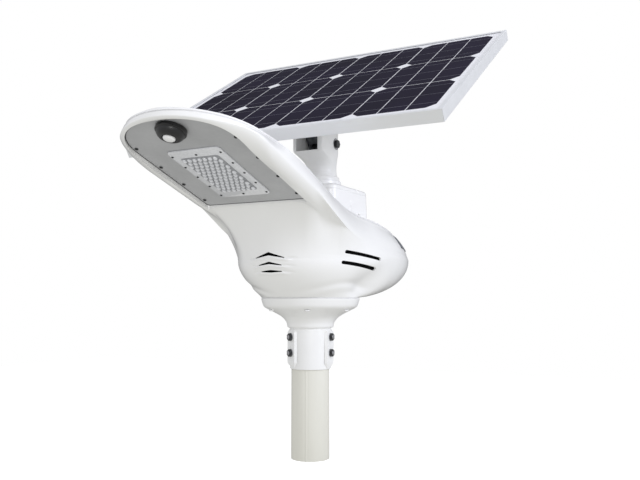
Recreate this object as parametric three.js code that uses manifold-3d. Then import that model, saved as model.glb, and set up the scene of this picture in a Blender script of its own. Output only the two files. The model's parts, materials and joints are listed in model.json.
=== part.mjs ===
// Solar street lamp: a hooded lamp head clamped on a pole top, with a solar panel on a tilting mast.
// Millimetres, +Z up. The origin is on the pole's axis at its lower cut. The hood points along -Y.
import * as THREE from 'three';
import { mergeVertices } from 'three/addons/utils/BufferGeometryUtils.js';
import Module from 'manifold-3d';

const wasm = await Module();
wasm.setup();

// ---------------------------------------------------------------- driving dimensions
const GAP = 0.3;                 // clearance left between pieces that touch
const DEG = Math.PI / 180;

const pole = { radius: 38, topRadius: 37.4, wall: 3.5, top: 262 };

const collar = {
  bottom: 175, boreRadius: 38.8, stopZ: 263.5, rimZ: 313.5,
  screwAngles: [-30, 90, 210], screwHeights: [207, 238], padReach: 45,
  flangeScrewCount: 6, flangeScrewRadius: 80,
};

const plate = { slope: 0.331, z0: 418, lowerY: -200, halfWidth: 105, noseLength: 84, tipY: -479, power: 2.3 };

const shell = {
  wall: 3, rimWall: 3.4, neckRadius: 97.5, neckZ: 315.2, cableHoleRadius: 58,
  hoodHalfWidth: 130, noseY: -371, noseLength: 115,
  tailHalfWidth: 136, tailY: 75, tailLength: 244, tailPower: 2.5, nosePower: 2,
  lipWidth: 24,
  bulgeZ: 385, bulgeFront: 160, bulgeSide: 137,
};

const pedestal = { halfWidth: 62, frontY: -18, backY: 142, top: 541, wall: 5, bossRadius: 40, bossTop: 555 };
const mast = { y: 48.5, bottom: 555.3, footRadius: 33, shaftRadius: 30.5, spigotRadius: 22, spigotBottom: 503 };
const clevis = { halfWidth: 33.5, slotHalfWidth: 24.6, frontY: -17, backY: 80, floorZ: 611, top: 661 };
const bolt = { z: 632, radius: 6, headWidth: 15, headHeight: 5.5, nutHeight: 8 };

const panel = {
  tilt: 31.85, width: 674, depth: 520, frameDepth: 23, frameWidth: 9, slopeOffset: 66.3, faceHeight: 106.8,
};

// ---------------------------------------------------------------- materials
function material(color, roughness, metalness) {
  return new THREE.MeshStandardMaterial({ color, roughness, metalness });
}
const paint = {
  white: material(0xf2f2ef, 0.28, 0), pole: material(0xd8d5cb, 0.45, 0.1), plate: material(0xb4b6b7, 0.5, 0.8),
  aluminium: material(0xc9cbcd, 0.38, 0.9), steel: material(0x9a9b9c, 0.4, 1), darkSteel: material(0x55575a, 0.5, 0.8),
  rubber: material(0x2a2a2b, 0.85, 0), black: material(0x1b1b1d, 0.35, 0), hatch: material(0x6d7073, 0.6, 0.1),
  lens: material(0xdfe3e6, 0.12, 0), cell: material(0x15142a, 0.15, 0.1),
  battery: material(0x2f5f9e, 0.5, 0), board: material(0xe8e8e2, 0.5, 0), electronics: material(0x2e3a35, 0.55, 0),
  sensorLens: material(0xf6f6f4, 0.35, 0),
};

// ---------------------------------------------------------------- solid helpers
const lamp = new THREE.Group();

function weld(geometry) {
  const bare = geometry.clone();
  bare.deleteAttribute('normal');
  bare.deleteAttribute('uv');
  const merged = mergeVertices(bare, 1e-4);
  const index = merged.index.array;
  const kept = [];
  for (let i = 0; i < index.length; i += 3) {
    const [a, b, c] = [index[i], index[i + 1], index[i + 2]];
    if (a !== b && b !== c && c !== a) kept.push(a, b, c);
  }
  merged.setIndex(kept);
  return merged;
}

function toSolid(geometry) {
  const merged = weld(geometry);
  const mesh = new wasm.Mesh({
    numProp: 3,
    vertProperties: new Float32Array(merged.attributes.position.array),
    triVerts: new Uint32Array(merged.index.array),
  });
  return new wasm.Manifold(mesh);
}

function toGeometry(solid) {
  const mesh = solid.getMesh();
  const geometry = new THREE.BufferGeometry();
  geometry.setAttribute('position', new THREE.BufferAttribute(new Float32Array(mesh.vertProperties), 3));
  geometry.setIndex(new THREE.BufferAttribute(new Uint32Array(mesh.triVerts), 1));
  geometry.computeVertexNormals();
  return geometry;
}

function cut(base, ...tools) {
  return tools.reduce((solid, tool) => solid.subtract(toSolid(tool)), toSolid(base));
}

function join(base, ...pieces) {
  return toGeometry(pieces.reduce((solid, piece) => solid.add(toSolid(piece)), toSolid(base)));
}

function cutGeometry(base, ...tools) {
  return toGeometry(cut(base, ...tools));
}

function add(name, geometry, look, parent = lamp) {
  const mesh = new THREE.Mesh(geometry, look);
  mesh.name = name;
  parent.add(mesh);
  return mesh;
}

function moved(geometry, x, y, z) {
  return geometry.clone().translate(x, y, z);
}

function uprightCylinder(radius, height, sides, topRadius = radius) {
  return new THREE.CylinderGeometry(topRadius, radius, height, sides).rotateX(90 * DEG).translate(0, 0, height / 2);
}

function box(x0, x1, y0, y1, z0, z1) {
  return new THREE.BoxGeometry(x1 - x0, y1 - y0, z1 - z0).translate((x0 + x1) / 2, (y0 + y1) / 2, (z0 + z1) / 2);
}

// A profile of [radius, z] points, turned about the Z axis. It closes on itself or runs axis to axis.
function turned(profile, sides) {
  const points = profile.map(([r, z]) => new THREE.Vector2(r, z));
  return new THREE.LatheGeometry(points, sides).rotateX(90 * DEG);
}

function turnedRing(profile, sides) {
  return turned([...profile, profile[0]], sides);
}

function extruded(points, z0, z1) {
  const shape = new THREE.Shape(points.map(([x, y]) => new THREE.Vector2(x, y)));
  return new THREE.ExtrudeGeometry(shape, { depth: z1 - z0, bevelEnabled: false, steps: 1 }).translate(0, 0, z0);
}

// Closed rings of points of equal count, joined one after another. A cyclic loft joins the last to the first.
function loft(rings, cyclic = false) {
  const count = rings[0].length;
  const vertices = rings.flat();
  const index = [];
  const bands = cyclic ? rings.length : rings.length - 1;
  for (let j = 0; j < bands; j += 1) {
    const next = (j + 1) % rings.length;
    for (let i = 0; i < count; i += 1) {
      const k = (i + 1) % count;
      const [a, b, c, d] = [j * count + i, j * count + k, next * count + k, next * count + i];
      index.push(a, b, c, a, c, d);
    }
  }
  if (!cyclic) {
    const ends = [[0, true], [rings.length - 1, false]];
    for (const [j, first] of ends) {
      const centre = rings[j].reduce((sum, p) => sum.add(p), new THREE.Vector3()).divideScalar(count);
      vertices.push(centre);
      const hub = vertices.length - 1;
      for (let i = 0; i < count; i += 1) {
        const k = (i + 1) % count;
        if (first) index.push(hub, j * count + k, j * count + i);
        else index.push(hub, j * count + i, j * count + k);
      }
    }
  }
  return facingOut(vertices, index);
}

// Two matching grids of rows, one above the other, closed around their border.
function slab(topRows, bottomRows) {
  const rows = topRows.length;
  const columns = topRows[0].length;
  const vertices = [...topRows.flat(), ...bottomRows.flat()];
  const under = rows * columns;
  const at = (i, j) => i * columns + j;
  const index = [];
  const quad = (a, b, c, d) => index.push(a, b, c, a, c, d);
  for (let i = 0; i < rows - 1; i += 1) {
    for (let j = 0; j < columns - 1; j += 1) {
      quad(at(i, j), at(i, j + 1), at(i + 1, j + 1), at(i + 1, j));
      quad(under + at(i, j), under + at(i + 1, j), under + at(i + 1, j + 1), under + at(i, j + 1));
    }
    quad(at(i, 0), at(i + 1, 0), under + at(i + 1, 0), under + at(i, 0));
    const last = columns - 1;
    quad(at(i, last), under + at(i, last), under + at(i + 1, last), at(i + 1, last));
  }
  for (let j = 0; j < columns - 1; j += 1) {
    const end = rows - 1;
    quad(at(0, j), under + at(0, j), under + at(0, j + 1), at(0, j + 1));
    quad(at(end, j), at(end, j + 1), under + at(end, j + 1), under + at(end, j));
  }
  return facingOut(vertices, index);
}

function facingOut(vertices, index) {
  let volume = 0;
  const cross = new THREE.Vector3();
  for (let i = 0; i < index.length; i += 3) {
    const [a, b, c] = [vertices[index[i]], vertices[index[i + 1]], vertices[index[i + 2]]];
    volume += a.dot(cross.crossVectors(b, c));
  }
  if (volume < 0) {
    for (let i = 0; i < index.length; i += 3) [index[i + 1], index[i + 2]] = [index[i + 2], index[i + 1]];
  }
  const geometry = new THREE.BufferGeometry();
  const positions = new Float32Array(vertices.flatMap((p) => [p.x, p.y, p.z]));
  geometry.setAttribute('position', new THREE.BufferAttribute(positions, 3));
  geometry.setIndex(index);
  return weld(geometry);
}

// ---------------------------------------------------------------- body curves
const mix = THREE.MathUtils.lerp;
const clamp = THREE.MathUtils.clamp;
const smooth = (from, to, value) => THREE.MathUtils.smoothstep(value, from, to);

const plateZ = (y) => plate.z0 - plate.slope * y;
// The lip stands below the plate, measured straight down, and thins out towards the tip.
const lipDrop = (y) => mix(3, 8.4, smooth(-480, -390, y));
const lipZ = (y) => plateZ(y) - lipDrop(y);

// The smaller of two lengths, blended where they are nearly equal.
function softMin(a, b, blend) {
  return -blend * Math.log(Math.exp(-a / blend) + Math.exp(-b / blend));
}

// Half of the body's outline in plan, tip to tail, drawn in by an inset: [x, y] points.
function halfOutline(inset, counts) {
  const points = [];
  const nose = shell.hoodHalfWidth - inset;
  const noseLength = shell.noseLength - inset;
  const tail = shell.tailHalfWidth - inset;
  const tailLength = shell.tailLength - inset;
  const nosePower = 2 / shell.nosePower;
  const tailPower = 2 / shell.tailPower;
  for (let i = 0; i < counts.nose; i += 1) {
    const angle = (i / counts.nose) * 90 * DEG;
    const reach = Math.cos(angle) ** nosePower;
    points.push([nose * Math.sin(angle) ** nosePower, shell.noseY - noseLength * reach]);
  }
  for (let i = 0; i < counts.side; i += 1) {
    const share = i / counts.side;
    const y = mix(shell.noseY, shell.tailY, share);
    points.push([mix(nose, tail, smooth(0.3, 1, share)), y]);
  }
  for (let i = 0; i <= counts.tail; i += 1) {
    const angle = (i / counts.tail) * 90 * DEG;
    const width = i === counts.tail ? 0 : Math.cos(angle) ** tailPower;
    points.push([tail * width, shell.tailY + tailLength * Math.sin(angle) ** tailPower]);
  }
  return points;
}

// The outline's widest line, where the flank turns into the band above it.
function creaseZ(y) {
  const hood = plateZ(y) + mix(-1, 6, smooth(-480, -400, y));
  const rear = 417 - 0.045 * y;
  return mix(hood, rear, smooth(-220, 20, y));
}

// The upper edge of the band, where the back cover sits.
function shoulderZ(y) {
  const hood = plateZ(y) + mix(4, 35, smooth(-500, -250, y));
  const rear = 470 - 0.115 * y;
  return mix(hood, rear, smooth(-230, 80, y));
}
const shoulderInset = (y) => mix(mix(2, 9, smooth(-480, -380, y)), 22, smooth(-220, 20, y));
// The band rounds over this far in plan before it meets the cover.
const seamInset = (y) => shoulderInset(y) + mix(2, 5, smooth(-480, -400, y));
const SEAM_RISE = 3;

const bodyCounts = { nose: 8, side: 12, tail: 8 };

function mirrored(half) {
  const left = half.slice(1, -1).reverse().map((p) => new THREE.Vector3(-p.x, p.y, p.z));
  return [...half, ...left];
}

function bandRing(insetAt, zAt) {
  const crease = halfOutline(0, bodyCounts);
  const half = crease.map(([, y], i) => {
    const [x, yIn] = halfOutline(insetAt(y), bodyCounts)[i];
    return new THREE.Vector3(x, yIn, zAt(y));
  });
  return mirrored(half);
}

// The lower surface along the ray from the pole's axis to one outline point, from crease down to the neck,
// as [radius, z] pairs.
function flankProfile(x, y, steps) {
  const reach = Math.hypot(x, y);
  const heading = Math.atan2(x, -y) / DEG;
  const [cosine, sine] = [-y / reach, x / reach];
  const creaseHeight = creaseZ(y);

  const front = 1 / Math.hypot(sine / shell.bulgeSide, cosine / shell.bulgeFront);
  const rearShare = smooth(75, 100, heading);
  const bulge = mix(front, reach + 5, rearShare);
  const bulgeZ = mix(shell.bulgeZ, 396, smooth(80, 130, heading));

  const lipShare = 1 - smooth(33, 56, heading);
  const across = Math.max(Math.abs(sine), 0.2);
  const noseShare = 1 - smooth(-470, -395, y);
  const lipReach = mix(shell.lipWidth / across, 6, noseShare) * lipShare;
  const lipStart = reach - Math.min(lipReach, 90);
  const knee = -plate.lowerY / Math.max(cosine, 0.2);
  const anchor = mix(reach, softMin(knee, lipStart, 18), smooth(0, 0.3, lipShare));
  const anchorZ = mix(creaseHeight, Math.min(lipZ(-anchor * cosine), creaseHeight - 8), lipShare);
  const lipLow = lipStart > anchor ? lipZ(-lipStart * cosine) : anchorZ;

  const profile = [];
  for (let i = 0; i < steps.lip; i += 1) {
    const angle = (i / steps.lip) * 90 * DEG;
    const r = reach - (reach - lipStart) * (1 - Math.cos(angle));
    profile.push([r, creaseHeight - (creaseHeight - lipLow) * Math.sin(angle)]);
  }
  for (let i = 0; i < steps.plane; i += 1) {
    const share = i / steps.plane;
    profile.push([mix(lipStart, anchor, share), mix(lipLow, anchorZ, share)]);
  }
  const control = [bulge + 0.12 * (anchor - bulge), mix(bulgeZ, anchorZ, 0.55)];
  for (let i = 0; i < steps.wall; i += 1) {
    const s = i / steps.wall;
    const r = (1 - s) ** 2 * anchor + 2 * s * (1 - s) * control[0] + s * s * bulge;
    const z = (1 - s) ** 2 * anchorZ + 2 * s * (1 - s) * control[1] + s * s * bulgeZ;
    profile.push([r, z]);
  }
  const sideBump = Math.exp(-(((heading - 88) / 22) ** 2));
  const rearBump = smooth(60, 125, heading);
  for (let i = 0; i <= steps.bowl; i += 1) {
    const height = 1 - (i / steps.bowl);
    const frontForm = Math.sin(height * 90 * DEG);
    const rearForm = Math.sqrt(1 - (1 - height) ** 2);
    const sideForm = smooth(0.12, 1, height);
    const form = mix(mix(frontForm, rearForm, rearBump), sideForm, sideBump);
    profile.push([mix(shell.neckRadius, bulge, form), mix(shell.neckZ, bulgeZ, height)]);
  }
  return { profile, cosine, sine, lipShare };
}

const flankSteps = { lip: 3, plane: 3, wall: 5, bowl: 7 };
// The hood's hollow stops this far above the plate's plane.
const HOOD_FLOOR = 6;
const hoodFloorZ = (y) => plateZ(y) + HOOD_FLOOR;

// The same surface one wall thickness further in. Over the hood's rim it is a floor parallel to the plate.
function insideProfile({ profile, cosine, lipShare }, steps) {
  const rimCount = steps.lip + steps.plane + 1;
  return profile.map(([r, z], i) => {
    if (i < rimCount) {
      const radius = r - shell.rimWall;
      return [radius, mix(z, hoodFloorZ(-radius * cosine), lipShare)];
    }
    const before = profile[i - 1];
    const after = profile[Math.min(i + 1, profile.length - 1)];
    const [dr, dz] = [after[0] - before[0], after[1] - before[1]];
    const length = Math.hypot(dr, dz);
    return [r + (shell.wall * dz) / length, z - (shell.wall * dr) / length];
  });
}

function ringsOf(columns) {
  return columns[0].map((_, j) => mirrored(columns.map((column) => column[j])));
}

// Rings of the lower shell from the seam at the back cover down to the neck's floor: outside and inside.
function shellRings() {
  const middleInset = (y) => shoulderInset(y) * 0.35;
  const middleZ = (y) => mix(creaseZ(y), shoulderZ(y), 0.5);
  const seamZ = (y) => shoulderZ(y) + SEAM_RISE;
  const above = (zAt, lift) => (y) => Math.max(zAt(y), hoodFloorZ(y) + lift);
  const further = (insetAt) => (y) => insetAt(y) + shell.rimWall;

  const outside = [bandRing(seamInset, seamZ), bandRing(shoulderInset, shoulderZ), bandRing(middleInset, middleZ)];
  const inside = [bandRing(further(seamInset), seamZ), bandRing(further(shoulderInset), above(shoulderZ, 0.7)),
    bandRing(further(middleInset), above(middleZ, 0.4))];

  const flanks = halfOutline(0, bodyCounts).map(([x, y]) => flankProfile(x, y, flankSteps));
  const placed = ({ cosine, sine }, profile) => profile.map(([r, z]) => new THREE.Vector3(sine * r, -cosine * r, z));
  outside.push(...ringsOf(flanks.map((flank) => placed(flank, flank.profile))));
  inside.push(...ringsOf(flanks.map((flank) => placed(flank, insideProfile(flank, flankSteps)))));
  return { outside, inside };
}

// ---------------------------------------------------------------- pole and collar
function buildPole() {
  const { radius, topRadius, wall, top } = pole;
  add('pole_stub', turnedRing([[radius - wall, 0], [radius, 0], [topRadius, top], [topRadius - wall, top]], 40),
    paint.pole);
}

function hexPrism(width, height) {
  return uprightCylinder(width / Math.sqrt(3), height, 6);
}

// A bolt along +Z with its head on top of the given seat height.
function boltGeometry(headWidth, headHeight, shankRadius, shankLength) {
  const shank = uprightCylinder(shankRadius, shankLength + 1, 12).translate(0, 0, -shankLength);
  return join(hexPrism(headWidth, headHeight), shank);
}

function buildCollar() {
  const bore = collar.boreRadius;
  const profile = [
    [bore, collar.bottom], [40.4, collar.bottom], [42.4, 252], [40.2, 254.5], [44.5, 256.4], [46.2, 258.5],
    [46.6, 263], [50, 269.5], [54.6, 275], [60, 279], [67, 283.2], [75.3, 287.5], [86, 292.8], [93, 297.5],
    [96.2, 304.5], [98.2, 311.5], [97.2, collar.rimZ], [70, collar.rimZ], [66, 292], [52, 284],
    [34, collar.stopZ + 3], [34, collar.stopZ], [bore, collar.stopZ],
  ];
  const pads = [];
  const holes = [];
  for (const degrees of collar.screwAngles) {
    const turn = degrees * DEG;
    const pad = box(-12, 12, -collar.padReach, -bore - 0.6, collar.bottom + 8, 250);
    pads.push(pad.rotateZ(turn));
    for (const z of collar.screwHeights) {
      holes.push(new THREE.CylinderGeometry(4.3, 4.3, 20, 10).translate(0, -42, z).rotateZ(turn));
    }
  }
  const pockets = [];
  for (let i = 0; i < collar.flangeScrewCount; i += 1) {
    const turn = (30 + i * 60) * DEG;
    const pocket = uprightCylinder(7, 40, 12).translate(0, -collar.flangeScrewRadius, 264);
    const hole = uprightCylinder(2.8, 20, 8).translate(0, -collar.flangeScrewRadius, 300);
    pockets.push(pocket.rotateZ(turn), hole.rotateZ(turn));
  }
  const bossed = join(turnedRing(profile, 40), ...pads);
  add('pole_collar', cutGeometry(bossed, ...holes, ...pockets), paint.white);

  let number = 0;
  for (const degrees of collar.screwAngles) {
    for (const z of collar.screwHeights) {
      number += 1;
      const group = new THREE.Group();
      group.rotation.z = degrees * DEG;
      const geometry = boltGeometry(13, 5.3, 4, 6).rotateX(90 * DEG).translate(0, -collar.padReach - GAP, z);
      add(`collar_set_screw_${number}`, geometry, paint.darkSteel, group);
      lamp.add(group);
    }
  }
  for (let i = 0; i < collar.flangeScrewCount; i += 1) {
    const group = new THREE.Group();
    group.rotation.z = (30 + i * 60) * DEG;
    const head = uprightCylinder(4.6, 4.2, 12).translate(0, 0, 299.5);
    const shank = uprightCylinder(2.5, 14.2, 8).translate(0, 0, 303);
    const socket = uprightCylinder(2.2, 3, 6).translate(0, 0, 298.5);
    const screw = cutGeometry(join(head, shank), socket).translate(0, -collar.flangeScrewRadius, 0);
    add(`flange_screw_${i + 1}`, screw, paint.white, group);
    lamp.add(group);
  }
  add('neck_gasket', turnedRing([[86, 313.8], [96, 313.8], [96, 314.9], [86, 314.9]], 40), paint.rubber);
}

// ---------------------------------------------------------------- lower shell
// A point of the plate's opening, drawn in or out by an offset.
function recessOutline(offset, arcSteps) {
  const half = plate.halfWidth + offset;
  const length = plate.noseLength + offset;
  const centreY = plate.tipY + plate.noseLength;
  const points = [];
  for (let i = 0; i <= arcSteps; i += 1) {
    const angle = (i / arcSteps) * 90 * DEG;
    const width = Math.sin(angle) ** (2 / plate.power);
    const reach = i === arcSteps ? 0 : Math.cos(angle) ** (2 / plate.power);
    points.push([half * width, centreY - length * reach]);
  }
  points.push([half, plate.lowerY + offset]);
  const left = points.slice(1).reverse().map(([x, y]) => [-x, y]);
  return [...points, ...left];
}

// A prism with the given plan outline between two planes parallel to the plate.
function slopedPrism(outline, low, high) {
  const at = (lift) => outline.map(([x, y]) => new THREE.Vector3(x, y, plateZ(y) + lift));
  return loft([at(low), at(high)]);
}

function ventSlot(centre, length, height, direction, depth) {
  const radius = height / 2;
  const straight = length / 2 - radius;
  const shape = new THREE.Shape();
  shape.absarc(straight, 0, radius, -90 * DEG, 90 * DEG, false);
  shape.absarc(-straight, 0, radius, 90 * DEG, 270 * DEG, false);
  const geometry = new THREE.ExtrudeGeometry(shape, { depth, bevelEnabled: false, curveSegments: 6 });
  const out = new THREE.Vector3(...direction.out).normalize();
  const along = new THREE.Vector3(...direction.along).normalize();
  const up = new THREE.Vector3().crossVectors(out, along);
  const matrix = new THREE.Matrix4().makeBasis(along, up, out);
  return geometry.translate(0, 0, -depth / 2).applyMatrix4(matrix).translate(...centre);
}

const sideVents = [
  { centre: [132, -27.8, 394.4], length: 115, fall: 0.085 },
  { centre: [130, -34.5, 374.8], length: 109, fall: 0.09 },
];

// Chevron vents on the front of the neck: the upper arrow is the widest and the steepest.
const frontVents = [
  { z: 393, halfWidth: 30, rise: 6, height: 7 },
  { z: 377, halfWidth: 22, rise: 3.5, height: 5.5 },
  { z: 363, halfWidth: 19, rise: 1, height: 4.5 },
];

function chevron({ z, halfWidth, rise, height }) {
  const outline = [[-halfWidth, z - rise], [0, z - height / 2], [halfWidth, z - rise], [0, z + height / 2 + rise / 2]];
  return extruded(outline, -60, 60).rotateX(90 * DEG).translate(0, -150, 0);
}

const plateScrewSpots = [-409.7, -348.3, -286.8, -225.4];
const PLATE_SCREW_X = 96;
const SLOPE_ANGLE = Math.atan(plate.slope);

// Holes square to the plate, through it and the ledge behind it.
function plateScrewHoles(radius) {
  const holes = [];
  for (const y of plateScrewSpots) {
    for (const side of [1, -1]) {
      const hole = uprightCylinder(radius, 30, 8).translate(0, 0, -12).rotateX(-SLOPE_ANGLE);
      holes.push(hole.translate(side * PLATE_SCREW_X, y, plateZ(y)));
    }
  }
  return holes;
}

function buildShell() {
  const { outside, inside } = shellRings();
  const floor = outside.at(-1);
  const scaled = (radius, z) => floor.map((p) => {
    const scale = radius / shell.neckRadius;
    return new THREE.Vector3(p.x * scale, p.y * scale, z);
  });
  const insideZ = shell.neckZ + shell.wall;
  const body = loft([...outside, scaled(shell.cableHoleRadius, shell.neckZ), scaled(shell.cableHoleRadius, insideZ),
    scaled(shell.neckRadius - shell.wall, insideZ), ...inside.slice(0, -1).reverse()], true);

  const recess = slopedPrism(recessOutline(0, 8), -40, 2.2);
  const opening = slopedPrism(recessOutline(-12, 8), -10, 20);
  const vents = [...frontVents.map(chevron)];
  for (const { centre, length, fall } of sideVents) {
    const [x, y, z] = centre;
    vents.push(ventSlot([x, y, z], length, 6.5, { out: [1, 0, 0], along: [0, 1, -fall] }, 60));
    vents.push(ventSlot([-x, y, z], length, 6.5, { out: [-1, 0, 0], along: [0, -1, fall] }, 60));
  }
  const screwHoles = [];
  for (let i = 0; i < collar.flangeScrewCount; i += 1) {
    const hole = uprightCylinder(2.9, 12, 8).translate(0, -collar.flangeScrewRadius, 311);
    screwHoles.push(hole.rotateZ((30 + i * 60) * DEG));
  }
  const hollow = cutGeometry(body, recess, opening, ...vents, ...screwHoles, ...plateScrewHoles(2.1));
  add('lower_shell', hollow, paint.white);
}

// ---------------------------------------------------------------- back cover
const seamLift = { gasketLow: SEAM_RISE + 0.3, gasketHigh: SEAM_RISE + 1.5, coverLow: SEAM_RISE + 1.8 };
const COVER_EDGE = 3;

// Rows of the cover from tip to tail, each running from the left edge to the right edge.
function coverRows(lift, columns = 6) {
  const crease = halfOutline(0, bodyCounts);
  return crease.map(([, y], i) => {
    const inset = seamInset(y);
    const [halfX, rowY] = halfOutline(inset, bodyCounts)[i];
    const crown = halfX * mix(0.1, 0.17, smooth(-300, 0, y));
    const row = [];
    for (let j = 0; j <= columns; j += 1) {
      const across = (2 * j) / columns - 1;
      row.push(new THREE.Vector3(halfX * across, rowY, shoulderZ(y) + lift + crown * (1 - across ** 2)));
    }
    return row;
  });
}

const coverScrewSpots = [[95, 30], [88, 130], [55, 258]];

function coverTopZ(x, y) {
  const crease = halfOutline(0, bodyCounts);
  let best = null;
  for (let i = 0; i < crease.length; i += 1) {
    const inset = seamInset(crease[i][1]);
    const [halfX, rowY] = halfOutline(inset, bodyCounts)[i];
    const distance = Math.abs(rowY - y);
    if (!best || distance < best.distance) best = { distance, halfX, creaseY: crease[i][1] };
  }
  const crown = best.halfX * mix(0.1, 0.17, smooth(-300, 0, best.creaseY));
  const across = clamp(x / best.halfX, -1, 1);
  return shoulderZ(best.creaseY) + seamLift.coverLow + COVER_EDGE + crown * (1 - across ** 2);
}

function buildCover() {
  const gasketRing = (extra, lift) => bandRing((y) => seamInset(y) + extra, (y) => shoulderZ(y) + lift);
  add('cover_gasket', loft([
    gasketRing(0.4, seamLift.gasketLow), gasketRing(0.4, seamLift.gasketHigh),
    gasketRing(3.4, seamLift.gasketHigh), gasketRing(3.4, seamLift.gasketLow),
  ], true), paint.rubber);

  const top = coverRows(seamLift.coverLow + COVER_EDGE);
  const bottom = coverRows(seamLift.coverLow);
  const holes = [];
  const bosses = [];
  for (const [x, y] of coverScrewSpots) {
    for (const side of [1, -1]) {
      bosses.push(uprightCylinder(6, 5, 12).translate(side * x, y, coverTopZ(x, y) - 2.4));
      holes.push(uprightCylinder(2.4, 40, 8).translate(side * x, y, coverTopZ(x, y) - 20));
    }
  }
  const wireHole = uprightCylinder(33, 110, 24).translate(0, mast.y, 440);
  add('back_cover', cutGeometry(join(slab(top, bottom), ...bosses), ...holes, wireHole), paint.white);

  let number = 0;
  for (const [x, y] of coverScrewSpots) {
    for (const side of [1, -1]) {
      number += 1;
      const head = uprightCylinder(4.2, 2.4, 10);
      const shank = uprightCylinder(2, 15, 8).translate(0, 0, -14);
      add(`cover_screw_${number}`, join(head, shank), paint.steel).position
        .set(side * x, y, coverTopZ(x, y) + 2.6 + GAP);
    }
  }
}

// ---------------------------------------------------------------- rear hatch
// A dark louvred strip let into the band around the tail, standing 1.5 mm proud of it.
function buildHatch() {
  const counts = { nose: 2, side: 2, tail: 16 };
  const strip = (extraInset, share) => {
    const crease = halfOutline(0, counts);
    const half = [];
    for (let i = 0; i < crease.length; i += 1) {
      const y = crease[i][1];
      if (y < 240) continue;
      const [x, yIn] = halfOutline(shoulderInset(y) * share ** 1.5 + extraInset, counts)[i];
      half.push(new THREE.Vector3(x, yIn, mix(creaseZ(y), shoulderZ(y), share)));
    }
    const left = half.slice(0, -1).reverse().map((p) => new THREE.Vector3(-p.x, p.y, p.z));
    return [...half, ...left];
  };
  const outside = [0.3, 0.65, 0.94].map((share) => strip(-1.9, share));
  const inside = [0.3, 0.65, 0.94].map((share) => strip(-0.5, share));
  add('rear_hatch', slab(outside, inside), paint.hatch);
}

// ---------------------------------------------------------------- light unit
const LENS = { y: -313, halfX: 51, halfLength: 83 };
const SENSOR_Y = -452;
const SENSOR_X = 4;

// Geometry made flat, with its own -Z pointing out of the hood, is laid below the plate's visible face.
function underPlate(y, clearance) {
  const group = new THREE.Group();
  const [back, down] = [clearance * Math.sin(SLOPE_ANGLE), clearance * Math.cos(SLOPE_ANGLE)];
  group.position.set(0, y - back, plateZ(y) - down);
  group.rotation.set(-SLOPE_ANGLE, 0, 0);
  lamp.add(group);
  return group;
}

function buildLightUnit() {
  const outline = recessOutline(-0.8, 8);
  const sheet = slopedPrism(outline, -1.1, 1.9);
  const cable = uprightCylinder(6, 60, 14);
  const wires = [
    moved(cable, 0, LENS.y, plateZ(LENS.y) - 30),
    moved(cable, SENSOR_X, SENSOR_Y, plateZ(SENSOR_Y) - 30),
  ];
  add('led_plate', cutGeometry(sheet, ...plateScrewHoles(2.1), ...wires), paint.plate);

  let number = 0;
  for (const y of plateScrewSpots) {
    for (const side of [1, -1]) {
      number += 1;
      const face = underPlate(y, 1.4);
      const head = uprightCylinder(3.8, 2, 10).rotateX(180 * DEG);
      const shank = uprightCylinder(1.8, 6, 8);
      add(`plate_screw_${number}`, moved(join(head, shank), side * PLATE_SCREW_X, 0, 0), paint.steel, face);
    }
  }

  const light = underPlate(LENS.y, 1.4);
  const board = new THREE.BoxGeometry(92, 150, 1.6).translate(0, 0, -1.1);
  add('led_board', board, paint.board, light);

  const rim = new THREE.Shape();
  const corner = 8;
  const [hx, hy] = [LENS.halfX, LENS.halfLength];
  rim.moveTo(-hx + corner, -hy);
  rim.absarc(hx - corner, -hy + corner, corner, -90 * DEG, 0, false);
  rim.absarc(hx - corner, hy - corner, corner, 0, 90 * DEG, false);
  rim.absarc(-hx + corner, hy - corner, corner, 90 * DEG, 180 * DEG, false);
  rim.absarc(-hx + corner, -hy + corner, corner, 180 * DEG, 270 * DEG, false);
  const block = new THREE.ExtrudeGeometry(rim, { depth: 4.4, bevelEnabled: false, curveSegments: 4 })
    .translate(0, 0, -4.8);
  const pocket = new THREE.BoxGeometry(94, 152, 2.4).translate(0, 0, -1);
  const raised = new THREE.BoxGeometry(74, 124, 2.4).translate(0, 0, -5.6);
  const cover = cutGeometry(join(block, raised), pocket);
  add('lens_cover', cover, paint.lens, light);

  const sensor = underPlate(SENSOR_Y, 1.4);
  sensor.position.x = SENSOR_X;
  const base = turned([[0, -22], [12.5, -22], [15, -20], [23, -12], [26, -8], [26, -3], [25, -0.4], [0, -0.4]], 24);
  const seat = turned([[0, -30], [10.9, -30], [10.9, -17], [0, -17]], 20);
  add('sensor_body', cutGeometry(base, seat), paint.black, sensor);
  const dome = turned([[0, -26.2], [6, -25.4], [9.6, -23.2], [10.5, -21], [10.5, -17.4], [0, -17.4]], 20);
  add('sensor_lens', dome, paint.sensorLens, sensor);
}

// ---------------------------------------------------------------- inside the body
function buildInside() {
  const posts = [[-62, -62], [62, -62], [-62, 62], [62, 62]];
  const tray = box(-76, 76, -88, 128, 349, 351.5);
  const low = shell.neckZ + shell.wall + GAP;
  const feet = posts.map(([x, y]) => moved(uprightCylinder(5, 350 - low, 12), x, y, low));
  add('battery_tray', join(tray, ...feet), paint.steel);
  add('battery_pack', box(-62, 62, -34, 118, 351.8, 416), paint.battery);
  add('charge_controller', box(-48, 48, -84, -42, 351.8, 378), paint.electronics);
}

// ---------------------------------------------------------------- pedestal and mast
function roundedOutline(halfX, y0, y1, radius, steps) {
  const points = [];
  const corners = [[halfX - radius, y1 - radius, 0], [-halfX + radius, y1 - radius, 90],
    [-halfX + radius, y0 + radius, 180], [halfX - radius, y0 + radius, 270]];
  for (const [cx, cy, start] of corners) {
    for (let i = 0; i <= steps; i += 1) {
      const angle = (start + (90 * i) / steps) * DEG;
      points.push([cx + radius * Math.cos(angle), cy + radius * Math.sin(angle)]);
    }
  }
  return points;
}

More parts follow.
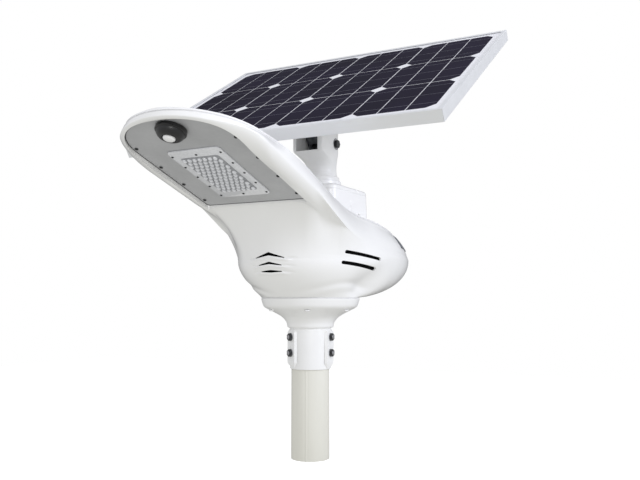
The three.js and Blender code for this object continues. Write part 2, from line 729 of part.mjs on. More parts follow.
function ringAt(outline, z) {
  return outline.map(([x, y]) => new THREE.Vector3(x, y, z));
}

function buildPedestal() {
  const { halfWidth, frontY, backY, top, wall, bossRadius, bossTop } = pedestal;
  const at = (grow, z) => ringAt(roundedOutline(halfWidth + grow, frontY - grow, backY + grow, 14 + grow, 4), z);
  const block = loft([at(5, 440), at(1, top - 8), at(0, top - 2.5), at(-2.5, top)]);
  const hollow = loft([at(-wall + 5, 420), at(-wall, top - 8 - wall), at(-wall - 3, top - wall)]);
  const boss = uprightCylinder(bossRadius, bossTop - top + 1, 40).translate(0, mast.y, top - 1);
  const sleeve = uprightCylinder(31, 30, 32).translate(0, mast.y, top - 30);
  const bore = uprightCylinder(mast.spigotRadius + 1.6, 120, 32).translate(0, mast.y, 470);
  const groundRows = coverRows(seamLift.coverLow + COVER_EDGE + GAP);
  const farBelow = groundRows.map((row) => row.map((p) => new THREE.Vector3(p.x, p.y, 300)));
  const walls = toSolid(block).subtract(toSolid(hollow));
  const bossed = walls.add(toSolid(boss)).add(toSolid(sleeve)).subtract(toSolid(bore));
  const fitted = bossed.subtract(toSolid(slab(groundRows, farBelow)));
  add('mast_pedestal', toGeometry(fitted), paint.white);
}

function buildMast() {
  const group = new THREE.Group();
  const round = (radius, z) => {
    const points = [];
    for (let i = 0; i < 40; i += 1) {
      const angle = (i / 40) * 2 * Math.PI;
      points.push(new THREE.Vector3(radius * Math.cos(angle), mast.y + radius * Math.sin(angle), z));
    }
    return points;
  };
  // Superellipse sections carry the round shaft into the square clevis head.
  const section = (halfX, y0, y1, power, z) => {
    const points = [];
    for (let i = 0; i < 40; i += 1) {
      const angle = (i / 40) * 2 * Math.PI;
      const [c, s] = [Math.cos(angle), Math.sin(angle)];
      const x = halfX * Math.sign(c) * Math.abs(c) ** (2 / power);
      const y = ((y1 - y0) / 2) * Math.sign(s) * Math.abs(s) ** (2 / power);
      points.push(new THREE.Vector3(x, (y0 + y1) / 2 + y, z));
    }
    return points;
  };
  const { halfWidth, slotHalfWidth, frontY, backY, floorZ, top } = clevis;
  const { y, footRadius, shaftRadius } = mast;
  const shaft = loft([
    round(footRadius + 3, mast.bottom), round(footRadius + 3, mast.bottom + 7), round(footRadius, mast.bottom + 10),
    section(shaftRadius, y - shaftRadius, y + shaftRadius, 2, 580),
    section(shaftRadius + 0.5, y - shaftRadius - 5, y + shaftRadius, 2.2, 592),
    section(halfWidth - 2, frontY + 15, backY - 1, 3, 602),
    section(halfWidth, frontY + 1, backY, 5, floorZ - 1),
    section(halfWidth, frontY, backY, 7, floorZ + 4),
    section(halfWidth, frontY, backY, 7, top),
  ]);
  const spigot = uprightCylinder(mast.spigotRadius, mast.bottom - mast.spigotBottom + 5, 32)
    .translate(0, y, mast.spigotBottom);
  const slot = box(-slotHalfWidth, slotHalfWidth, frontY - 30, backY + 30, floorZ, top + 30);
  const pin = new THREE.CylinderGeometry(bolt.radius + 0.25, bolt.radius + 0.25, 120, 24).rotateZ(90 * DEG)
    .translate(0, y, bolt.z);
  const wires = uprightCylinder(9, 200, 20).translate(0, y + 8, 480);
  add('mast_post', cutGeometry(join(shaft, spigot), slot, pin, wires), paint.white, group);

  const clipZ = mast.spigotBottom + 3;
  const clipRadius = mast.spigotRadius + GAP;
  const clip = turnedRing([[clipRadius, clipZ], [30, clipZ], [30, clipZ + 4], [clipRadius, clipZ + 4]], 32);
  add('mast_retaining_ring', moved(clip, 0, y, 0), paint.steel, group);

  const reach = halfWidth + GAP;
  const head = hexPrism(bolt.headWidth, bolt.headHeight).rotateY(90 * DEG).translate(reach, 0, 0);
  const shank = new THREE.CylinderGeometry(bolt.radius, bolt.radius, 2 * reach + 13, 20).rotateZ(90 * DEG)
    .translate(-6, 0, 0);
  add('tilt_bolt', moved(join(head, shank), 0, y, bolt.z), paint.darkSteel, group);
  const nutBlank = hexPrism(bolt.headWidth, bolt.nutHeight).rotateY(-90 * DEG).translate(-reach, 0, 0);
  const thread = new THREE.CylinderGeometry(bolt.radius + 0.25, bolt.radius + 0.25, 60, 20).rotateZ(90 * DEG)
    .translate(-reach, 0, 0);
  add('tilt_nut', moved(cutGeometry(nutBlank, thread), 0, y, bolt.z), paint.darkSteel, group);
  lamp.add(group);
}

// ---------------------------------------------------------------- solar panel
function frameRail(length, depth, lip) {
  const foot = 22;
  const section = [
    [0, 0], [foot, 0], [foot, 1.6], [1.8, 1.6], [1.8, depth - 7], [lip, depth - 7], [lip, depth - 5.6],
    [2.2, depth - 5.6], [2.2, depth - 1.4], [lip, depth - 1.4], [lip, depth], [0, depth],
  ];
  // The bar runs along X, its outer face towards -Y, and both ends are mitred.
  const bar = extruded(section, -length / 2, length / 2).rotateX(90 * DEG).rotateZ(90 * DEG);
  const mitre = (side) => new THREE.BoxGeometry(200, 200, 200)
    .translate(100 - GAP / 2, 0, 0)
    .rotateZ(side > 0 ? 45 * DEG : 135 * DEG)
    .translate((side * length) / 2, 0, 0);
  return cutGeometry(bar, mitre(1), mitre(-1));
}

const bracketBoltRows = [10, 100];

// The panel's own frame: origin on the tilt bolt, +Y up the slope, +Z out of the glass.
function buildPanel() {
  const group = new THREE.Group();
  group.position.set(0, mast.y, bolt.z);
  group.rotation.x = panel.tilt * DEG;
  lamp.add(group);

  const { width, depth, frameDepth, frameWidth, slopeOffset, faceHeight } = panel;
  const low = faceHeight - frameDepth;
  const front = slopeOffset - depth / 2;
  const back = slopeOffset + depth / 2;
  const longRail = frameRail(width, frameDepth, frameWidth);
  const shortRail = frameRail(depth, frameDepth, frameWidth);
  add('frame_rail_front', moved(longRail, 0, front, low), paint.aluminium, group);
  add('frame_rail_rear', moved(longRail.clone().rotateZ(180 * DEG), 0, back, low), paint.aluminium, group);
  add('frame_rail_right', moved(shortRail.clone().rotateZ(90 * DEG), width / 2, slopeOffset, low),
    paint.aluminium, group);
  add('frame_rail_left', moved(shortRail.clone().rotateZ(-90 * DEG), -width / 2, slopeOffset, low),
    paint.aluminium, group);

  const sheet = box(-width / 2 + 3, width / 2 - 3, front + 3, back - 3, faceHeight - 5.2, faceHeight - 1.8);
  add('panel_laminate', sheet, paint.cell, group);

  const beamX = 80;
  const beamHalf = 20;
  const beamHeight = 13;
  const beamLow = low + 1.6 + GAP;
  for (const [side, word] of [[1, 'right'], [-1, 'left']]) {
    const solid = box(-beamHalf, beamHalf, front + 2.5, back - 2.5, beamLow, beamLow + beamHeight);
    const inside = box(-beamHalf + 2, beamHalf - 2, front - 5, back + 5, beamLow + 2, beamLow + 40);
    const holes = bracketBoltRows.map((y) => moved(uprightCylinder(4.4, 20, 10), 0, y, beamLow - 8));
    const beam = cutGeometry(solid, inside, ...holes);
    add(`cross_beam_${word}`, moved(beam, side * beamX, 0, 0), paint.aluminium, group);
  }

  buildTiltBracket(group, beamLow - GAP, beamX);

  const boxTop = faceHeight - 5.2 - GAP;
  const junction = box(-45, 45, back - 130, back - 70, boxTop - 16, boxTop);
  add('junction_box', junction, paint.black, group);
}

// A folded steel saddle: its plate bolts under the cross beams, and its two cheeks hang on the tilt bolt.
function buildTiltBracket(group, plateTop, beamX) {
  const plateLow = plateTop - 4;
  const cheekOuter = clevis.slotHalfWidth - 2.3;
  const cheekThickness = 4;
  const eye = 17;
  const outline = [];
  for (let i = 0; i <= 10; i += 1) {
    const angle = (180 + i * 17) * DEG;
    outline.push([eye * Math.cos(angle), eye * Math.sin(angle)]);
  }
  outline.push([84, plateLow + 1], [-eye, plateLow + 1]);
  const side = extruded(outline, -cheekThickness / 2, cheekThickness / 2).rotateX(90 * DEG).rotateZ(90 * DEG);
  const offset = cheekOuter - cheekThickness / 2;
  const web = box(-cheekOuter, cheekOuter, -eye, -eye + 3.5, 12, plateLow + 1);
  const top = box(-beamX - 24, beamX + 24, -eye - 8, 128, plateLow, plateTop);
  const pin = new THREE.CylinderGeometry(bolt.radius + 0.3, bolt.radius + 0.3, 90, 20).rotateZ(90 * DEG);
  const bracketBoltSpots = bracketBoltRows.flatMap((y) => [[-beamX, y], [beamX, y]]);
  const holes = bracketBoltSpots.map(([x, y]) => moved(uprightCylinder(4.4, 20, 10), x, y, plateLow - 8));
  const saddle = join(top, moved(side, offset, 0, 0), moved(side, -offset, 0, 0), web);
  add('tilt_bracket', cutGeometry(saddle, pin, ...holes), paint.darkSteel, group);

  bracketBoltSpots.forEach(([x, y], i) => {
    const head = hexPrism(13, 5.5).translate(0, 0, plateLow - GAP - 5.5);
    const shank = uprightCylinder(3.9, 6 + GAP, 10).translate(0, 0, plateLow - GAP - 0.5);
    add(`bracket_bolt_${i + 1}`, moved(join(head, shank), x, y, 0), paint.steel, group);
  });
}

buildPole();
buildCollar();
buildShell();
buildCover();
buildHatch();
buildLightUnit();
buildInside();
buildPedestal();
buildMast();
buildPanel();

export default lamp;
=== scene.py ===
"""Looks of a solar street lamp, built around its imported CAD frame.

Lengths are in millimetres, and bare_piece() scales them to metres.
The body's outline and flank follow the CAD model's formulas on a finer grid, with a rounder lip.
"""
import json
import math
from types import SimpleNamespace

import bmesh
import bpy
from mathutils import Matrix, Vector

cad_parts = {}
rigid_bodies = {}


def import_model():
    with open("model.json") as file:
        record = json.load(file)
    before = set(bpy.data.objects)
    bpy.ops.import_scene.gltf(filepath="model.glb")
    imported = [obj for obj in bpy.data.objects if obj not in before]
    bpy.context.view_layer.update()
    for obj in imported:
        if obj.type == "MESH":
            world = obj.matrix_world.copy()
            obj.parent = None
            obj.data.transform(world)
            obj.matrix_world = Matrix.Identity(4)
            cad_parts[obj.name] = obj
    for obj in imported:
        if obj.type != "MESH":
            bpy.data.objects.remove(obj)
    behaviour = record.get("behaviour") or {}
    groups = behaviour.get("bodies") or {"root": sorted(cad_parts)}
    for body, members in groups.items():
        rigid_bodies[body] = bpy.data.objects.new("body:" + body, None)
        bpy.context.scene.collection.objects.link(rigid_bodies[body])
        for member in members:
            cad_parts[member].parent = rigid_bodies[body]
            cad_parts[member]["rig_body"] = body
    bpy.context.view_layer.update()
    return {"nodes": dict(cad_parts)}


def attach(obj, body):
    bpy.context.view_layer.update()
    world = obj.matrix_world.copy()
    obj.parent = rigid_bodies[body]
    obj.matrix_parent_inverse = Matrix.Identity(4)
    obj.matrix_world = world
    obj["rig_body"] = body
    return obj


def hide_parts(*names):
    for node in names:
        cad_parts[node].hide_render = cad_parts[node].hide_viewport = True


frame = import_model()

MM = 0.001
SCENE = bpy.context.scene

# ---- driving dimensions
PLATE = SimpleNamespace(slope=0.331, z0=418, lower_y=-200, half_width=105, nose_length=84, tip_y=-479,
                        power=2.3, corner=5, screw_rows=(-409.7, -348.3, -286.8, -225.4), screw_x=96)
SHELL = SimpleNamespace(
    wall=3, rim_wall=3.4, neck_radius=97.5, neck_z=315.2, hole_radius=58, hood_half_width=130, nose_y=-371,
    nose_length=115, tail_half_width=136, tail_y=75, tail_length=244, tail_power=2.5, nose_power=2,
    lip_width=24, bulge_z=385, bulge_front=160, bulge_side=137)
HOOD_FLOOR = 6
RECESS_DEPTH = 2.2
RECESS_LEDGE = 12
SEAM_RISE = 3
MAST_Y = 48.5
BOLT_Z = 632
PANEL = SimpleNamespace(tilt=31.85, width=674, depth=520, slope_offset=66.3, face_height=106.8,
                        sheet_drop=2.15, sheet_thickness=3.05, sheet_margin=3)
CELL = SimpleNamespace(size=156, pitch=158.5, across=4, along=3, strips=3, gap=2.0, chamfer=15.4)
LENS = SimpleNamespace(y=-313, half_x=51, half_length=83, screw_x=47, bed_half_x=37, bed_half_length=62)
DOME = SimpleNamespace(columns=7, rows=12, pitch=10.0, stagger=2.2, squeeze=0.78, skew=0.12)
SENSOR = SimpleNamespace(x=8, y=-451, width_scale=0.94, depth_scale=0.78)
# How far below the plate the lens sheet and the sensor have their own origins.
UNDER_PLATE = 1.4
HERE = Matrix.Identity(4)
FLIP = Matrix.Rotation(math.pi, 4, "X")
MAST_AXIS = Matrix.Translation((0, MAST_Y, 0))
SOFT_ANGLE = 38
HATCH = SimpleNamespace(start=0.21, low=0.3, high=0.94, rib=0.45)
PEDESTAL = SimpleNamespace(half_x=62, front=-18, back=142, corner=14)
FORK = SimpleNamespace(half_x=33.5, front=65.5, back=31.5, half_gap=24.6, floor_z=611)


# ---- small maths
def mix(a, b, t):
    return a + (b - a) * t


def smooth(start, end, value):
    t = min(max((value - start) / (end - start), 0.0), 1.0)
    return t * t * (3 - 2 * t)


def bell(value, centre, width):
    return math.exp(-(((value - centre) / width) ** 2))


def soft_min(a, b, blend):
    return -blend * math.log(math.exp(-a / blend) + math.exp(-b / blend))


def steps(count, start=0.0, end=1.0):
    return [mix(start, end, i / count) for i in range(count + 1)]


def arc(centre, radius, start, count, sweep=90):
    """Points round a centre, from a start angle in degrees."""
    angles = [math.radians(start + sweep * share) for share in steps(count)]
    return [(centre[0] + radius * math.cos(angle), centre[1] + radius * math.sin(angle)) for angle in angles]


def turned(degrees):
    return Matrix.Rotation(math.radians(degrees), 4, "Z")


# ---- materials
def to_linear(channel):
    return channel / 12.92 if channel <= 0.04045 else ((channel + 0.055) / 1.055) ** 2.4


def linear(color):
    return tuple(to_linear(channel) for channel in color) + (1.0,)


def add_node(nodes, kind, values, **settings):
    """A new node: its settings come first, since they decide which sockets it has."""
    node = nodes.new(f"ShaderNode{kind}")
    for name, value in settings.items():
        setattr(node, name, value)
    for socket, value in values.items():
        node.inputs[socket].default_value = value
    return node


def color_ramp(nodes, *stops):
    """A ramp between two stops of (position, colour)."""
    ramp = nodes.new("ShaderNodeValToRGB")
    for element, (position, color) in zip(ramp.color_ramp.elements, stops):
        element.position = position
        element.color = color
    return ramp


# Most of a noise texture's values lie between these two.
NOISE_LOW, NOISE_HIGH = 0.3, 0.7
COAT_ROUGHNESS = 0.08


class Paint:
    """A Principled material whose colour, roughness and bump vary through noise in the object's own space."""

    def __init__(self, name, color, roughness, metallic=0.0, specular=0.5, coat=0.0):
        self.material = bpy.data.materials.new(name)
        self.material.use_nodes = True
        self.nodes = self.material.node_tree.nodes
        self.links = self.material.node_tree.links
        self.shader = self.nodes["Principled BSDF"]
        self.place = self.nodes.new("ShaderNodeTexCoord").outputs["Object"]
        self.color = color
        self.roughness = roughness
        sockets = {"Base Color": linear(color), "Roughness": roughness, "Metallic": metallic,
                   "Specular IOR Level": specular, "Coat Weight": coat, "Coat Roughness": COAT_ROUGHNESS}
        for socket, value in sockets.items():
            self.shader.inputs[socket].default_value = value

    def noise(self, scale, detail, stretch=(1, 1, 1)):
        mapping = add_node(self.nodes, "Mapping", {"Scale": stretch})
        noise = add_node(self.nodes, "TexNoise", {"Scale": scale, "Detail": detail})
        self.links.new(self.place, mapping.inputs["Vector"])
        self.links.new(mapping.outputs["Vector"], noise.inputs["Vector"])
        return noise.outputs["Fac"]

    def mottle(self, scale, amount, detail=4.0, stretch=(1, 1, 1)):
        """Colour drifts a little lighter and darker."""
        ramp = color_ramp(self.nodes, (NOISE_LOW, linear([max(c - amount, 0) for c in self.color])),
                          (NOISE_HIGH, linear([min(c + amount, 1) for c in self.color])))
        self.links.new(self.noise(scale, detail, stretch), ramp.inputs["Fac"])
        self.links.new(ramp.outputs["Color"], self.shader.inputs["Base Color"])
        return self

    def uneven_gloss(self, scale, amount, stretch=(1, 1, 1)):
        low, high = max(self.roughness - amount, 0.02), self.roughness + amount
        spread = add_node(self.nodes, "MapRange",
                          {"From Min": NOISE_LOW, "From Max": NOISE_HIGH, "To Min": low, "To Max": high})
        self.links.new(self.noise(scale, 3.0, stretch), spread.inputs["Value"])
        self.links.new(spread.outputs["Result"], self.shader.inputs["Roughness"])
        return self

    def bump(self, scale, height):
        bump = add_node(self.nodes, "Bump", {"Strength": 1.0, "Distance": height * MM})
        self.links.new(self.noise(scale, 2.0), bump.inputs["Height"])
        self.links.new(bump.outputs["Normal"], self.shader.inputs["Normal"])
        return self


def make_paints():
    paints = dict(
        gloss=Paint("gloss_white_shell", (0.945, 0.945, 0.94), 0.22, coat=0.35)
        .mottle(9, 0.006).uneven_gloss(30, 0.05).bump(160, 0.012),
        lid=Paint("gloss_white_lid", (0.95, 0.95, 0.95), 0.24, coat=0.3)
        .mottle(9, 0.006).uneven_gloss(30, 0.05).bump(160, 0.012),
        cast=Paint("powder_coat_white", (0.94, 0.94, 0.935), 0.36, coat=0.12)
        .mottle(14, 0.008).uneven_gloss(60, 0.06).bump(700, 0.03),
        pole=Paint("pole_coat", (0.875, 0.87, 0.83), 0.5)
        .mottle(22, 0.012, stretch=(1, 1, 0.25)).uneven_gloss(60, 0.06).bump(420, 0.02),
        plate=Paint("blasted_aluminium", (0.745, 0.748, 0.755), 0.5, metallic=0.4)
        .mottle(16, 0.022, 6).uneven_gloss(160, 0.08).bump(1100, 0.035),
        frame=Paint("anodised_aluminium", (0.89, 0.895, 0.90), 0.38, metallic=0.4)
        .mottle(40, 0.012, stretch=(0.05, 1, 1)).uneven_gloss(260, 0.08, (0.05, 1, 1)).bump(900, 0.01),
        steel=Paint("zinc_steel", (0.62, 0.62, 0.63), 0.36, metallic=0.9)
        .mottle(300, 0.05).uneven_gloss(500, 0.1).bump(900, 0.01),
        dark=Paint("dark_steel", (0.24, 0.245, 0.25), 0.38, metallic=0.8)
        .mottle(260, 0.04).uneven_gloss(400, 0.1).bump(900, 0.012),
        zinc=Paint("hot_dip_zinc", (0.36, 0.37, 0.385), 0.5, metallic=0.6)
        .mottle(120, 0.05, 2).uneven_gloss(160, 0.12).bump(300, 0.03),
        black=Paint("black_moulding", (0.085, 0.085, 0.09), 0.34)
        .mottle(120, 0.012).uneven_gloss(240, 0.08).bump(900, 0.02),
        # Near-black and matte: painted shade for the inside of the body seen through the vent slots.
        soot=Paint("painted_vent_shade_black", (0.02, 0.02, 0.022), 0.9, specular=0.1).mottle(200, 0.008).bump(600, 0.04),
        window=Paint("milky_window", (0.95, 0.95, 0.95), 0.3)
        .mottle(300, 0.01).uneven_gloss(200, 0.06).bump(900, 0.01),
        optic=Paint("clear_optic", (0.88, 0.885, 0.90), 0.12, coat=0.6)
        .mottle(260, 0.03).uneven_gloss(300, 0.05).bump(700, 0.01),
        # Mid-grey: the LED board's own colour inside, and painted shade on the lens bed between the domes.
        board=Paint("board_white", (0.60, 0.605, 0.62), 0.5)
        .mottle(300, 0.05).uneven_gloss(300, 0.08).bump(700, 0.01),
        hatch=Paint("textured_grey", (0.42, 0.43, 0.45), 0.66)
        .mottle(60, 0.02).uneven_gloss(500, 0.08).bump(1300, 0.09),
        rubber=Paint("seal_rubber", (0.88, 0.88, 0.88), 0.7, specular=0.3).mottle(120, 0.02).bump(900, 0.03),
        bead=Paint("dark_sealant", (0.30, 0.30, 0.31), 0.6).mottle(200, 0.03).bump(500, 0.05),
        sheet=Paint("white_backsheet", (0.93, 0.93, 0.945), 0.3, coat=0.25)
        .mottle(60, 0.008).uneven_gloss(200, 0.04).bump(500, 0.006),
        battery=Paint("battery_film", (0.16, 0.34, 0.62), 0.32, coat=0.2)
        .mottle(60, 0.02).uneven_gloss(80, 0.08).bump(60, 0.2),
        circuit=Paint("potted_board", (0.16, 0.22, 0.19), 0.5)
        .mottle(300, 0.04).uneven_gloss(300, 0.1).bump(500, 0.05),
        ribbon=Paint("ribbon_silver", (0.36, 0.36, 0.41), 0.45, metallic=0.3)
        .mottle(400, 0.03).uneven_gloss(400, 0.08),
        cell=cell_paint(),
    )
    return SimpleNamespace(**{name: paint.material for name, paint in paints.items()})


def cell_paint():
    """Dark mono silicon: fine contact fingers, and a blue tint that drifts from cell to cell."""
    paint = Paint("mono_cell", (0.115, 0.105, 0.165), 0.34, specular=0.0, coat=0.09)
    fingers = add_node(paint.nodes, "TexWave", {"Scale": 160, "Distortion": 0.0},
                       wave_type="BANDS", bands_direction="X")
    tints = {"A": linear((0.085, 0.08, 0.115)), "B": linear((0.14, 0.12, 0.20))}
    tint = add_node(paint.nodes, "Mix", tints, data_type="RGBA")
    lines = add_node(paint.nodes, "Mix", {"Factor": 0.006}, data_type="RGBA", blend_type="ADD")
    paint.links.new(paint.place, fingers.inputs["Vector"])
    paint.links.new(paint.noise(7, 2.0), tint.inputs["Factor"])
    paint.links.new(tint.outputs["Result"], lines.inputs["A"])
    paint.links.new(fingers.outputs["Color"], lines.inputs["B"])
    paint.links.new(lines.outputs["Result"], paint.shader.inputs["Base Color"])
    return paint.uneven_gloss(60, 0.06)


# ---- mesh helpers
def place_on_panel(x=0, y=0, z=0):
    """The panel's own frame: origin on the tilt bolt, +Y up the slope, +Z out of the glass."""
    tilt = Matrix.Rotation(math.radians(PANEL.tilt), 4, "X")
    return Matrix.Translation((0, MAST_Y, BOLT_Z)) @ tilt @ Matrix.Translation((x, y, z))


def place_under_plate(x, y, clearance):
    """A flat frame below the plate's visible face, with -Z pointing out of the hood."""
    angle = math.atan(PLATE.slope)
    down = (x, y - clearance * math.sin(angle), plate_z(y) - clearance * math.cos(angle))
    return Matrix.Translation(down) @ Matrix.Rotation(-angle, 4, "X")


def bare_piece(name, vertices, faces, place=HERE):
    mesh = bpy.data.meshes.new(name)
    mesh.from_pydata([(place @ Vector(v)) * MM for v in vertices], [], faces)
    work = bmesh.new()
    work.from_mesh(mesh)
    bmesh.ops.remove_doubles(work, verts=work.verts, dist=1e-6)
    bmesh.ops.recalc_face_normals(work, faces=work.faces)
    work.to_mesh(mesh)
    work.free()
    obj = bpy.data.objects.new(name, mesh)
    SCENE.collection.objects.link(obj)
    return obj


def cutter(shape, place=HERE):
    return bare_piece("cutter", *shape, place)


def finish_piece(obj, material, body, nodes=(), crease=32):
    """Material, smooth shading up to the crease angle, and the body and CAD nodes it stands for."""
    obj.data.materials.clear()
    obj.data.materials.append(material)
    for polygon in obj.data.polygons:
        polygon.use_smooth = True
    obj.data.set_sharp_from_angle(angle=math.radians(crease))
    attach(obj, body)
    if nodes:
        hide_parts(*nodes)
    return obj


def add_piece(name, shape, material, body, nodes=(), crease=32, place=HERE):
    """A piece that needs no cutting before it is finished."""
    return finish_piece(bare_piece(name, *shape, place), material, body, nodes, crease)


def soften(obj, width, segments=2, angle=SOFT_ANGLE):
    """Rounded edges wherever two faces meet at more than the angle."""
    bevel = obj.modifiers.new("edges", "BEVEL")
    bevel.width = width * MM
    bevel.segments = segments
    bevel.limit_method = "ANGLE"
    bevel.angle_limit = math.radians(angle)
    bevel.harden_normals = True
    return obj


def combine(obj, others, operation="DIFFERENCE"):
    for other in others:
        modifier = obj.modifiers.new("combine", "BOOLEAN")
        modifier.object = other
        modifier.operation = operation
        modifier.solver = "EXACT"
    graph = bpy.context.evaluated_depsgraph_get()
    obj.data = bpy.data.meshes.new_from_object(obj.evaluated_get(graph))
    obj.modifiers.clear()
    for other in others:
        bpy.data.objects.remove(other)
    return obj


def revolve(profile, sides, closed=False, relief=None):
    """A profile of (radius, z) turned about Z. A closed one is a ring's section; the other ends on the axis.

    The relief, if any, adds to a radius at an angle.
    """
    vertices = []
    for index in range(sides):
        angle = 2 * math.pi * index / sides
        for r, z in profile:
            radius = r + relief(r, angle) if relief else r
            vertices.append((radius * math.cos(angle), radius * math.sin(angle), z))
    count = len(profile)
    faces = []
    spans = count if closed else count - 1
    for index in range(sides):
        here, there = index * count, ((index + 1) % sides) * count
        for j in range(spans):
            k = (j + 1) % count
            faces.append((here + j, there + j, there + k, here + k))
    return vertices, faces


def loft(rings, cyclic=False):
    count = len(rings[0])
    vertices = [point for ring in rings for point in ring]
    faces = []
    for j in range(len(rings) if cyclic else len(rings) - 1):
        above = (j + 1) % len(rings)
        for i in range(count):
            k = (i + 1) % count
            faces.append((j * count + i, j * count + k, above * count + k, above * count + i))
    if not cyclic:
        faces.append(tuple(reversed(range(count))))
        faces.append(tuple((len(rings) - 1) * count + i for i in range(count)))
    return vertices, faces


def slab(top, bottom):
    """Two matching grids of rows, closed around their border."""
    rows, columns = len(top), len(top[0])
    vertices = [p for row in top for p in row] + [p for row in bottom for p in row]
    under = rows * columns
    faces = []
    for i in range(rows - 1):
        for j in range(columns - 1):
            a, d = i * columns + j, (i + 1) * columns + j
            b, c = a + 1, d + 1
            faces.append((a, b, c, d))
            faces.append((under + a, under + d, under + c, under + b))
    border = [j for j in range(columns)] + [i * columns + columns - 1 for i in range(1, rows)]
    border += [(rows - 1) * columns + j for j in range(columns - 2, -1, -1)]
    border += [i * columns for i in range(rows - 2, 0, -1)]
    for here, there in zip(border, border[1:] + border[:1]):
        faces.append((here, under + here, under + there, there))
    return vertices, faces


def cuboid(x0, x1, y0, y1, z0, z1):
    return loft([[(x0, y0, z), (x1, y0, z), (x1, y1, z), (x0, y1, z)] for z in (z0, z1)])


def cylinder(radius, z0, z1, sides):
    ring = arc((0, 0), radius, 0, sides, 360)[:-1]
    return loft([[(x, y, z) for x, y in ring] for z in (z0, z1)])


def merge(shapes):
    vertices, faces = [], []
    for more_vertices, more_faces in shapes:
        start = len(vertices)
        vertices += more_vertices
        faces += [tuple(start + k for k in face) for face in more_faces]
    return vertices, faces


def rounded_outline(half_x, low, high, low_radius, high_radius, arc_steps=6):
    """A rectangle in plan, with one radius at its two low corners and one at its two high corners."""
    low_y, high_y = low + low_radius, high - high_radius
    points = []
    for side, y, radius, start in ((1, high_y, high_radius, 0), (-1, high_y, high_radius, 90),
                                   (-1, low_y, low_radius, 180), (1, low_y, low_radius, 270)):
        points += arc((side * (half_x - radius), y), radius, start, arc_steps)
    return points


def refined(node, material, width, segments=2):
    """The CAD node's own shape with clean faces and rounded edges."""
    source = frame["nodes"][node]
    work = bmesh.new()
    work.from_mesh(source.data)
    bmesh.ops.remove_doubles(work, verts=work.verts, dist=2e-6)
    bmesh.ops.dissolve_limit(work, angle_limit=math.radians(0.6), verts=work.verts, edges=work.edges)
    vertices = [vertex.co / MM for vertex in work.verts]
    work.verts.index_update()
    faces = [[vertex.index for vertex in face.verts] for face in work.faces]
    work.free()
    shape = vertices, faces
    obj = add_piece(f"{node}_skin", shape, material, source["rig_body"], [node], crease=SOFT_ANGLE)
    return soften(obj, width, segments)


# ---- body curves
def plate_z(y):
    return PLATE.z0 - PLATE.slope * y


def lip_z(y):
    return plate_z(y) - mix(3, 8.4, smooth(-480, -390, y))


def crease_z(y):
    hood = plate_z(y) + mix(-1, 6, smooth(-480, -400, y))
    return mix(hood, 417 - 0.045 * y, smooth(-220, 20, y))


def shoulder_z(y):
    hood = plate_z(y) + mix(4, 35, smooth(-500, -250, y))
    return mix(hood, 470 - 0.115 * y, smooth(-230, 80, y))


def shoulder_inset(y):
    return mix(mix(2, 9, smooth(-480, -380, y)), 22, smooth(-220, 20, y))


def seam_inset(y):
    return shoulder_inset(y) + mix(2, 5, smooth(-480, -400, y))


def hood_floor_z(y):
    return plate_z(y) + HOOD_FLOOR


def outline_point(kind, share, inset):
    """One point of the right half of the outline in plan, drawn in by an inset."""
    nose, tail = SHELL.hood_half_width - inset, SHELL.tail_half_width - inset
    angle = share * math.pi / 2
    if kind == "nose":
        power = 2 / SHELL.nose_power
        reach = (SHELL.nose_length - inset) * math.cos(angle) ** power
        return nose * math.sin(angle) ** power, SHELL.nose_y - reach
    if kind == "side":
        return mix(nose, tail, smooth(0.3, 1, share)), mix(SHELL.nose_y, SHELL.tail_y, share)
    power = 2 / SHELL.tail_power
    width = 0.0 if share == 1 else math.cos(angle) ** power
    return tail * width, SHELL.tail_y + (SHELL.tail_length - inset) * math.sin(angle) ** power


# Along the right half: a part of the outline, and the share of the way along it.
STATIONS = [(kind, share) for kind, count in (("nose", 36), ("side", 56), ("tail", 40))
            for share in steps(count)[:-1]] + [("tail", 1.0)]


def mirrored(half):
    return half + [(-x, y, z) for x, y, z in reversed(half[1:-1])]


def band_ring(inset_at, z_at):
    half = []
    for kind, share in STATIONS:
        y = outline_point(kind, share, 0)[1]
        x, y_in = outline_point(kind, share, inset_at(y))
        half.append((x, y_in, z_at(y)))
    return mirrored(half)


# Front louvres: each is a chevron slot. A shallow groove carries it on to both sides.
FRONT_VENTS = (
    SimpleNamespace(half_width=30, ends_z=387, low_z=391.2, high_z=397.4, groove=54),
    SimpleNamespace(half_width=24, ends_z=373.5, low_z=375.4, high_z=380, groove=50),
    SimpleNamespace(half_width=21.5, ends_z=362.2, low_z=360.2, high_z=365, groove=46),
)
SIDE_VENTS = (
    SimpleNamespace(y=-27.8, z=394.4, length=115, lean=0.085),
    SimpleNamespace(y=-34.5, z=374.8, length=109, lean=0.09),
)
SIDE_VENT_HEIGHT = 6.5
VENT_END_THICKNESS = 0.8
# How far the tools that cut the vents reach through the wall, from the front and from a side.
FRONT_CUT = (-195, -110)
SIDE_CUT = (100, 165)


def louvre_relief(x, z):
    """How far the front of the neck stands out (+) or in (-) around the chevron slots."""
    relief = 0.0
    for vent in FRONT_VENTS:
        across = abs(x) / vent.half_width
        line = mix(vent.low_z, vent.ends_z, min(across, 1.0)) - 1.2 * max(across - 1, 0)
        beyond = smooth(0.85, 1.15, across) * (1 - smooth(vent.groove - 10, vent.groove + 2, abs(x)))
        relief -= 1.3 * beyond * bell(z, line, 1.5)
        lip = 1 - smooth(vent.half_width + 2, vent.half_width + 16, abs(x))
        relief += 2.0 * lip * bell(z, line - 3.6, 2.2)
    return relief


def fold_relief(heading, z):
    """A soft valley above the collar, rising towards each side, with a full round below it."""
    valley = 323 + 20 * smooth(5, 65, heading) - 9 * smooth(75, 108, heading)
    strength = smooth(3, 35, heading) * (1 - smooth(92, 118, heading))
    return strength * (1.2 * bell(z, valley - 11, 6) - 2.0 * bell(z, valley, 6))


